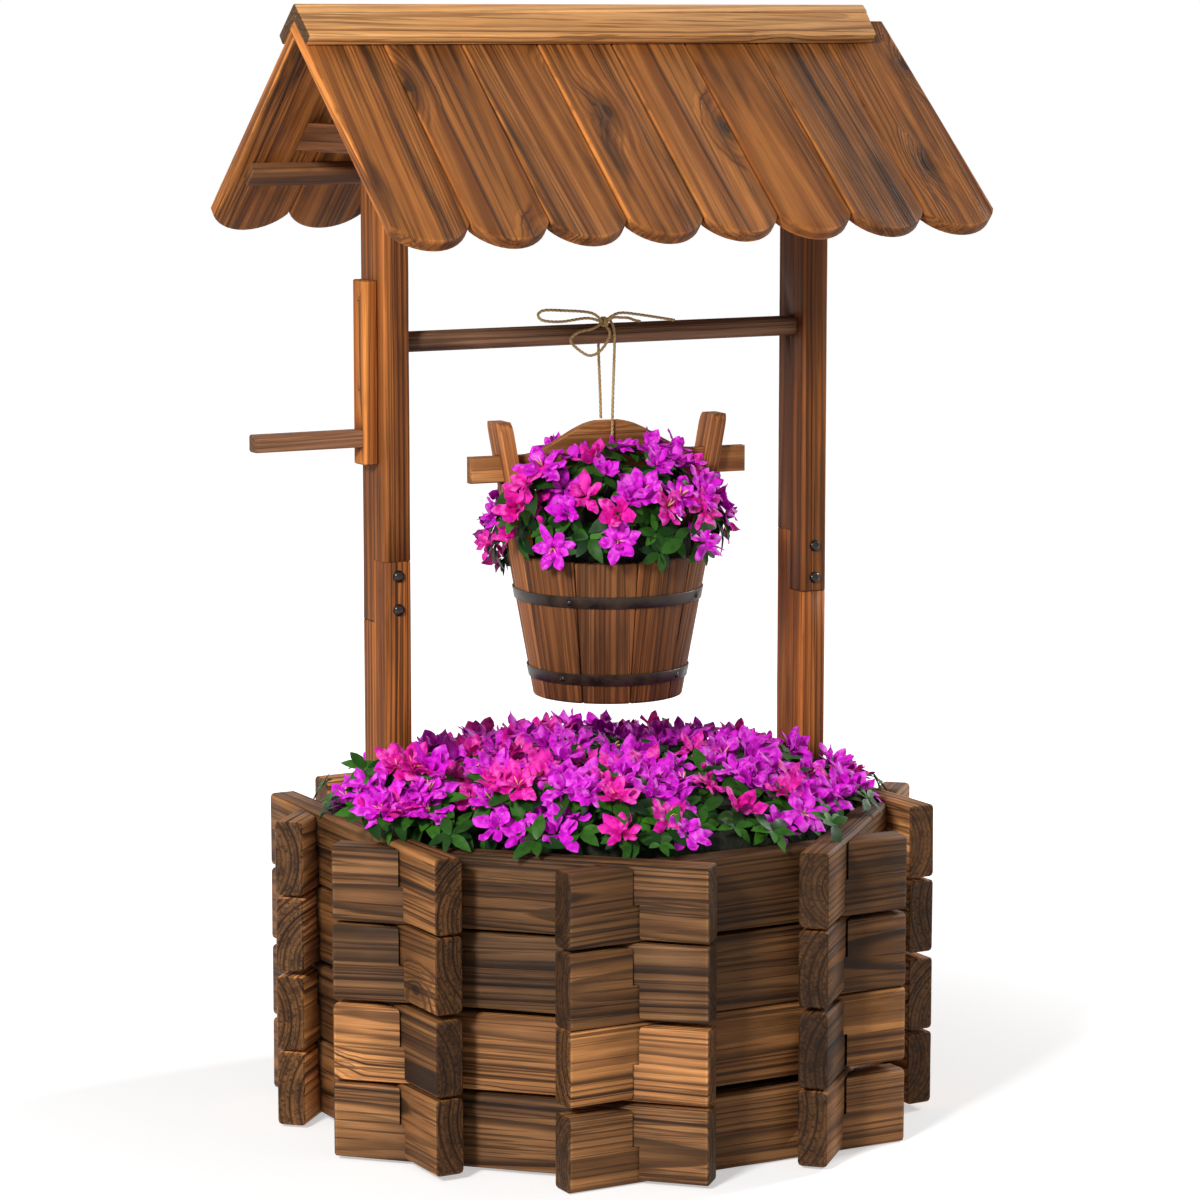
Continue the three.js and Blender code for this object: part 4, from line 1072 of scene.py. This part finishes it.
plant_dice = random.Random(77)
rosettes = [leaf_rosette(plant_dice) for number in range(7)]
FLOWER_KINDS = ((5, 4, 12, 0), (6, 5, 24, 3), (6, 5, 34, 0), (7, 5, 20, 0), (7, 5, 32, 2), (5, 4, 44, 0))
blooms = {
    "open": [flower(*kind, plant_dice) for kind in FLOWER_KINDS],
    "half": [flower(5, 2, opening, 0, plant_dice) for opening in (56, 64)],
    "bud": [bud(plant_dice) for number in range(3)],
}


def plant(name, body, sites, node, seed, ground):
    """Sets a rosette of leaves at each site, and what blooms there on top of it."""
    dice = random.Random(seed)
    beds = {label: bmesh.new() for label in PLANT_FINISHES}
    for bed in beds.values():
        bed.verts.layers.float.new("tint")

    def stamp(label, shape, matrix):
        bed = beds[label]
        before = len(bed.verts)
        bed.from_mesh(shape)
        bed.verts.ensure_lookup_table()
        bmesh.ops.transform(bed, matrix=matrix, verts=bed.verts[before:])

    for place, normal, kind, colour, size in sites:
        turn = Vector(normal).normalized().to_track_quat("Z", "Y").to_matrix().to_4x4()
        base = Matrix.Translation(place) @ turn @ Matrix.Rotation(dice.uniform(0, 6.3), 4, "Z")
        stamp("leaves", dice.choice(rosettes), base @ Matrix.Scale(size * dice.uniform(0.85, 1.05), 4))
        if kind == "leaf":
            continue
        lean = Matrix.Rotation(math.radians(dice.uniform(-26, 26)), 4, "X")
        shape = dice.choice(blooms[kind])
        lift = Matrix.Translation((0, 0, 0.006))
        stamp(colour, shape, base @ lift @ lean @ Matrix.Scale(size * dice.uniform(0.88, 1.12), 4))
    for label, bed in beds.items():
        finish_piece(f"{name}_{label}", bed, PLANT_FINISHES[label], body, (), 80)
    finish_piece(f"{name}_soil", ground, soil, body, [node], 60)


def mound_of_soil(radius, foot, brim_radius, brim, top, sides, seed):
    """A plug of soil with a low uneven dome."""
    bm = bmesh.new()
    profile = [(0, foot), (radius, foot), (brim_radius, brim)]
    for step in range(1, 7):
        lift = math.pi / 2 * step / 7
        profile.append((brim_radius * math.cos(lift), brim + (top - brim) * math.sin(lift)))
    round_profile(bm, profile + [(0, top)], ALONG_Z, (0, 0, 0), sides)
    for vert in bm.verts:
        if vert.co.z > brim + 1e-4:
            vert.co.z += 0.004 * noise.noise(vert.co * 30 + Vector((seed, 0, 0)))
    return bm


def bloom(dice, leafy):
    """What grows at one site: its kind and its colour."""
    colour = "pink_flowers" if dice.random() < 0.25 else "magenta_flowers"
    roll = dice.random() - leafy
    kind = "leaf" if roll < 0 else "half" if roll < 0.16 else "bud" if roll < 0.22 else "open"
    return kind, colour


def wall_reach(angle):
    """How far the eight walls' inner faces are from the middle, at an angle."""
    return WALL_INSIDE / math.cos((angle + math.pi / 8) % (math.pi / 4) - math.pi / 8)


def around(angle, radius, height):
    return radius * math.cos(angle), radius * math.sin(angle), height


RIM_SHARE, RIM_SITES, HANGING_LEAVES = 0.975, 52, 17
FLOWER_FOOT, MIDDLE_RISE, BACK_DROP = 0.332, 0.037, 0.03
FRONT_LEFT_FACING = (-0.4, -0.6, 1)


def tub_sites(dice, count=235):
    """Sites spread evenly over the tub. They stand highest in the middle and at the left."""
    sites = []
    spread = [(math.sqrt((number + 0.5) / count) * 0.94, number * GOLDEN_TURN) for number in range(count)]
    spread += [(RIM_SHARE, number * 2 * math.pi / RIM_SITES) for number in range(RIM_SITES)]
    for share, angle in spread:
        angle += dice.uniform(-0.06, 0.06)
        radius = wall_reach(angle) * share + dice.uniform(-0.004, 0.004)
        x, y, height = around(angle, radius, FLOWER_FOOT + MIDDLE_RISE * (1 - share ** 3))
        if abs(y) < 0.042 and abs(abs(x) - POST_CENTRE) < 0.03:
            continue
        back, left, right = max(0, y / WALL_INSIDE), max(0, -x / WALL_INSIDE), max(0, x / WALL_INSIDE)
        height -= BACK_DROP * back * share ** 2
        if share < 0.93:
            height += (0.026 * left + 0.012 * right) * share ** 2 * (1 - back)
        slope = (0.2 + 0.7 * share ** 4) * (1 - 0.8 * back)
        nod = dice.uniform(-0.45, 0.15) - 0.35 * back
        facing = (slope * math.cos(angle) + dice.uniform(-0.3, 0.3), slope * math.sin(angle) + nod, 1)
        site = (x, y, height + dice.uniform(-0.008, 0.008))
        sites.append((site, facing, *bloom(dice, 0.3), dice.uniform(0.8, 1.08)))
    # A fuller row along the front left wall.
    for number in range(12):
        angle = math.radians(212 + 3 * number)
        radius = wall_reach(angle) * (0.8, 0.9)[number % 2]
        site = around(angle, radius, 0.38 - 0.001 * number + dice.uniform(-0.004, 0.004))
        sites.append((site, FRONT_LEFT_FACING, *bloom(dice, 0.15), dice.uniform(0.95, 1.1)))
    # Three rows that hide the near post's foot from the camera.
    to_camera = Matrix.Rotation(VIEW_TURN, 3, "Z")
    for number in range(15):
        row, place_in_row = divmod(number, 5)
        site = to_camera @ Vector((-0.032 + 0.016 * place_in_row, -0.04 - 0.014 * row, 0))
        site += Vector((-POST_CENTRE, -POST_HALF[1], 0.385 - 0.018 * row + dice.uniform(-0.004, 0.004)))
        sites.append((site, FRONT_LEFT_FACING, *bloom(dice, 0.1), dice.uniform(0.9, 1.05)))
    # Leaves that hang over the walls.
    for number in range(HANGING_LEAVES):
        angle = 2 * math.pi * (number + dice.uniform(-0.3, 0.3)) / HANGING_LEAVES
        site = around(angle, wall_reach(angle) + 0.022, 0.335)
        sites.append((site, around(angle, 1, 1.1), "leaf", "leaves", dice.uniform(0.7, 0.9)))
    return sites


tub_ground = mound_of_soil(0.254, 0.0195, 0.254, 0.312, 0.362, 64, 3)
plant("tub", "well", tub_sites(random.Random(41)), "tub_planting", 42, tub_ground)


BESIDE_EARS = ((-0.109, -0.05, 0.66), (-0.116, -0.046, 0.634), (-0.092, -0.052, 0.676), (0.102, -0.05, 0.628))


def bucket_sites(dice, count=92):
    """Sites spread evenly over a dome, clear of the ears and the bar, and a few beside the ears."""
    sites = []
    for number in range(count):
        up = 1 - (number + 0.5) / count * 1.02
        angle = number * GOLDEN_TURN + dice.uniform(-0.12, 0.12)
        flat = math.sqrt(max(0, 1 - up ** 2))
        x, y, z = around(angle, 0.116 * flat, 0.6 + 0.094 * up)
        z += dice.uniform(-0.006, 0.006) - 0.45 * max(0, y - 0.02)
        if abs(y) < 0.027 and abs(x) > 0.066:
            continue
        if abs(y) < 0.026 and z > 0.63:
            y = math.copysign(0.03, y)
        facing = BUCKET_PLACE.to_3x3() @ Vector(around(angle, flat, 0.25 + 0.9 * up))
        sites.append((BUCKET_PLACE @ Vector((x, y, z)), facing, *bloom(dice, 0.1), dice.uniform(0.8, 0.98)))
    for x, y, z in BESIDE_EARS:
        facing = BUCKET_PLACE.to_3x3() @ Vector((8 * x, -0.7, 1))
        sites.append((BUCKET_PLACE @ Vector((x, y, z)), facing, *bloom(dice, 0), 0.95))
    return sites


bucket_ground = mound_of_soil(0.0675, 0.452, 0.088, 0.58, 0.65, 40, 9)
move(bucket_ground, BUCKET_PLACE)
plant("bucket", "bucket", bucket_sites(random.Random(7)), "bucket_planting", 8, bucket_ground)
for shape in [*rosettes, *blooms["open"], *blooms["half"], *blooms["bud"]]:
    bpy.data.meshes.remove(shape)


# Studio. A white floor, a white surround and two soft lamps: the stronger one
# in front at the left, the other at the right. The floor keeps the shadow.
floor_sheet = bpy.data.meshes.new("studio_floor")
floor_mesh = bmesh.new()
bmesh.ops.create_grid(
    floor_mesh, x_segments=1, y_segments=1, size=14, matrix=Matrix.Translation((0, 6, -0.0005))
)
floor_mesh.to_mesh(floor_sheet)
floor_mesh.free()
floor = bpy.data.objects.new("studio_floor", floor_sheet)
bpy.context.scene.collection.objects.link(floor)
floor_white, floor_tree, floor_shader = new_finish(
    "studio_floor_white", Base_Color=(0.8, 0.8, 0.8, 1), Roughness=0.9, Specular_IOR_Level=0.1,
    Emission_Color=(1, 1, 1, 1),
)
floor_sheet.materials.append(floor_white)


def seen_directly(tree):
    """1 for what the camera sees, also in metal and glass, and 0 for the light that falls on the object."""
    rays = add_node(tree, "LightPath").outputs
    seen = calc(tree, "MAXIMUM", rays["Is Camera Ray"], rays["Is Glossy Ray"])
    return calc(tree, "MAXIMUM", seen, rays["Is Transmission Ray"])


floor_distance = length_of(floor_tree, object_place(floor_tree))
floor_fade = rise(floor_tree, floor_distance, 0.45, 1.4, 0.48, 0.85)
floor_glow = times(floor_tree, seen_directly(floor_tree), floor_fade)
floor_tree.links.new(floor_glow, floor_shader.inputs["Emission Strength"])
world = bpy.data.worlds.new("studio")
bpy.context.scene.world = world
world.use_nodes = True
background = world.node_tree.nodes["Background"]
background.inputs["Color"].default_value = (1, 1, 1, 1)
world_strength = times_plus(world.node_tree, seen_directly(world.node_tree), 0.82, 0.18)
world.node_tree.links.new(world_strength, background.inputs["Strength"])


def soft_lamp(name, azimuth, elevation, distance, size, power):
    light = bpy.data.lights.new(name, "AREA")
    light.shape = "RECTANGLE"
    light.size, light.size_y = size
    light.energy = power
    turn, lift = math.radians(azimuth), math.radians(elevation)
    away = Vector((math.sin(turn) * math.cos(lift), -math.cos(turn) * math.cos(lift), math.sin(lift)))
    lamp = bpy.data.objects.new(name, light)
    lamp.location = Vector((0, 0, 0.5)) + away * distance
    lamp.rotation_euler = away.to_track_quat("Z", "Y").to_euler()
    bpy.context.scene.collection.objects.link(lamp)


soft_lamp("key_lamp", -55, 26, 4, (0.6, 0.8), 130)
soft_lamp("right_lamp", 96, 24, 4, (0.7, 0.9), 88)
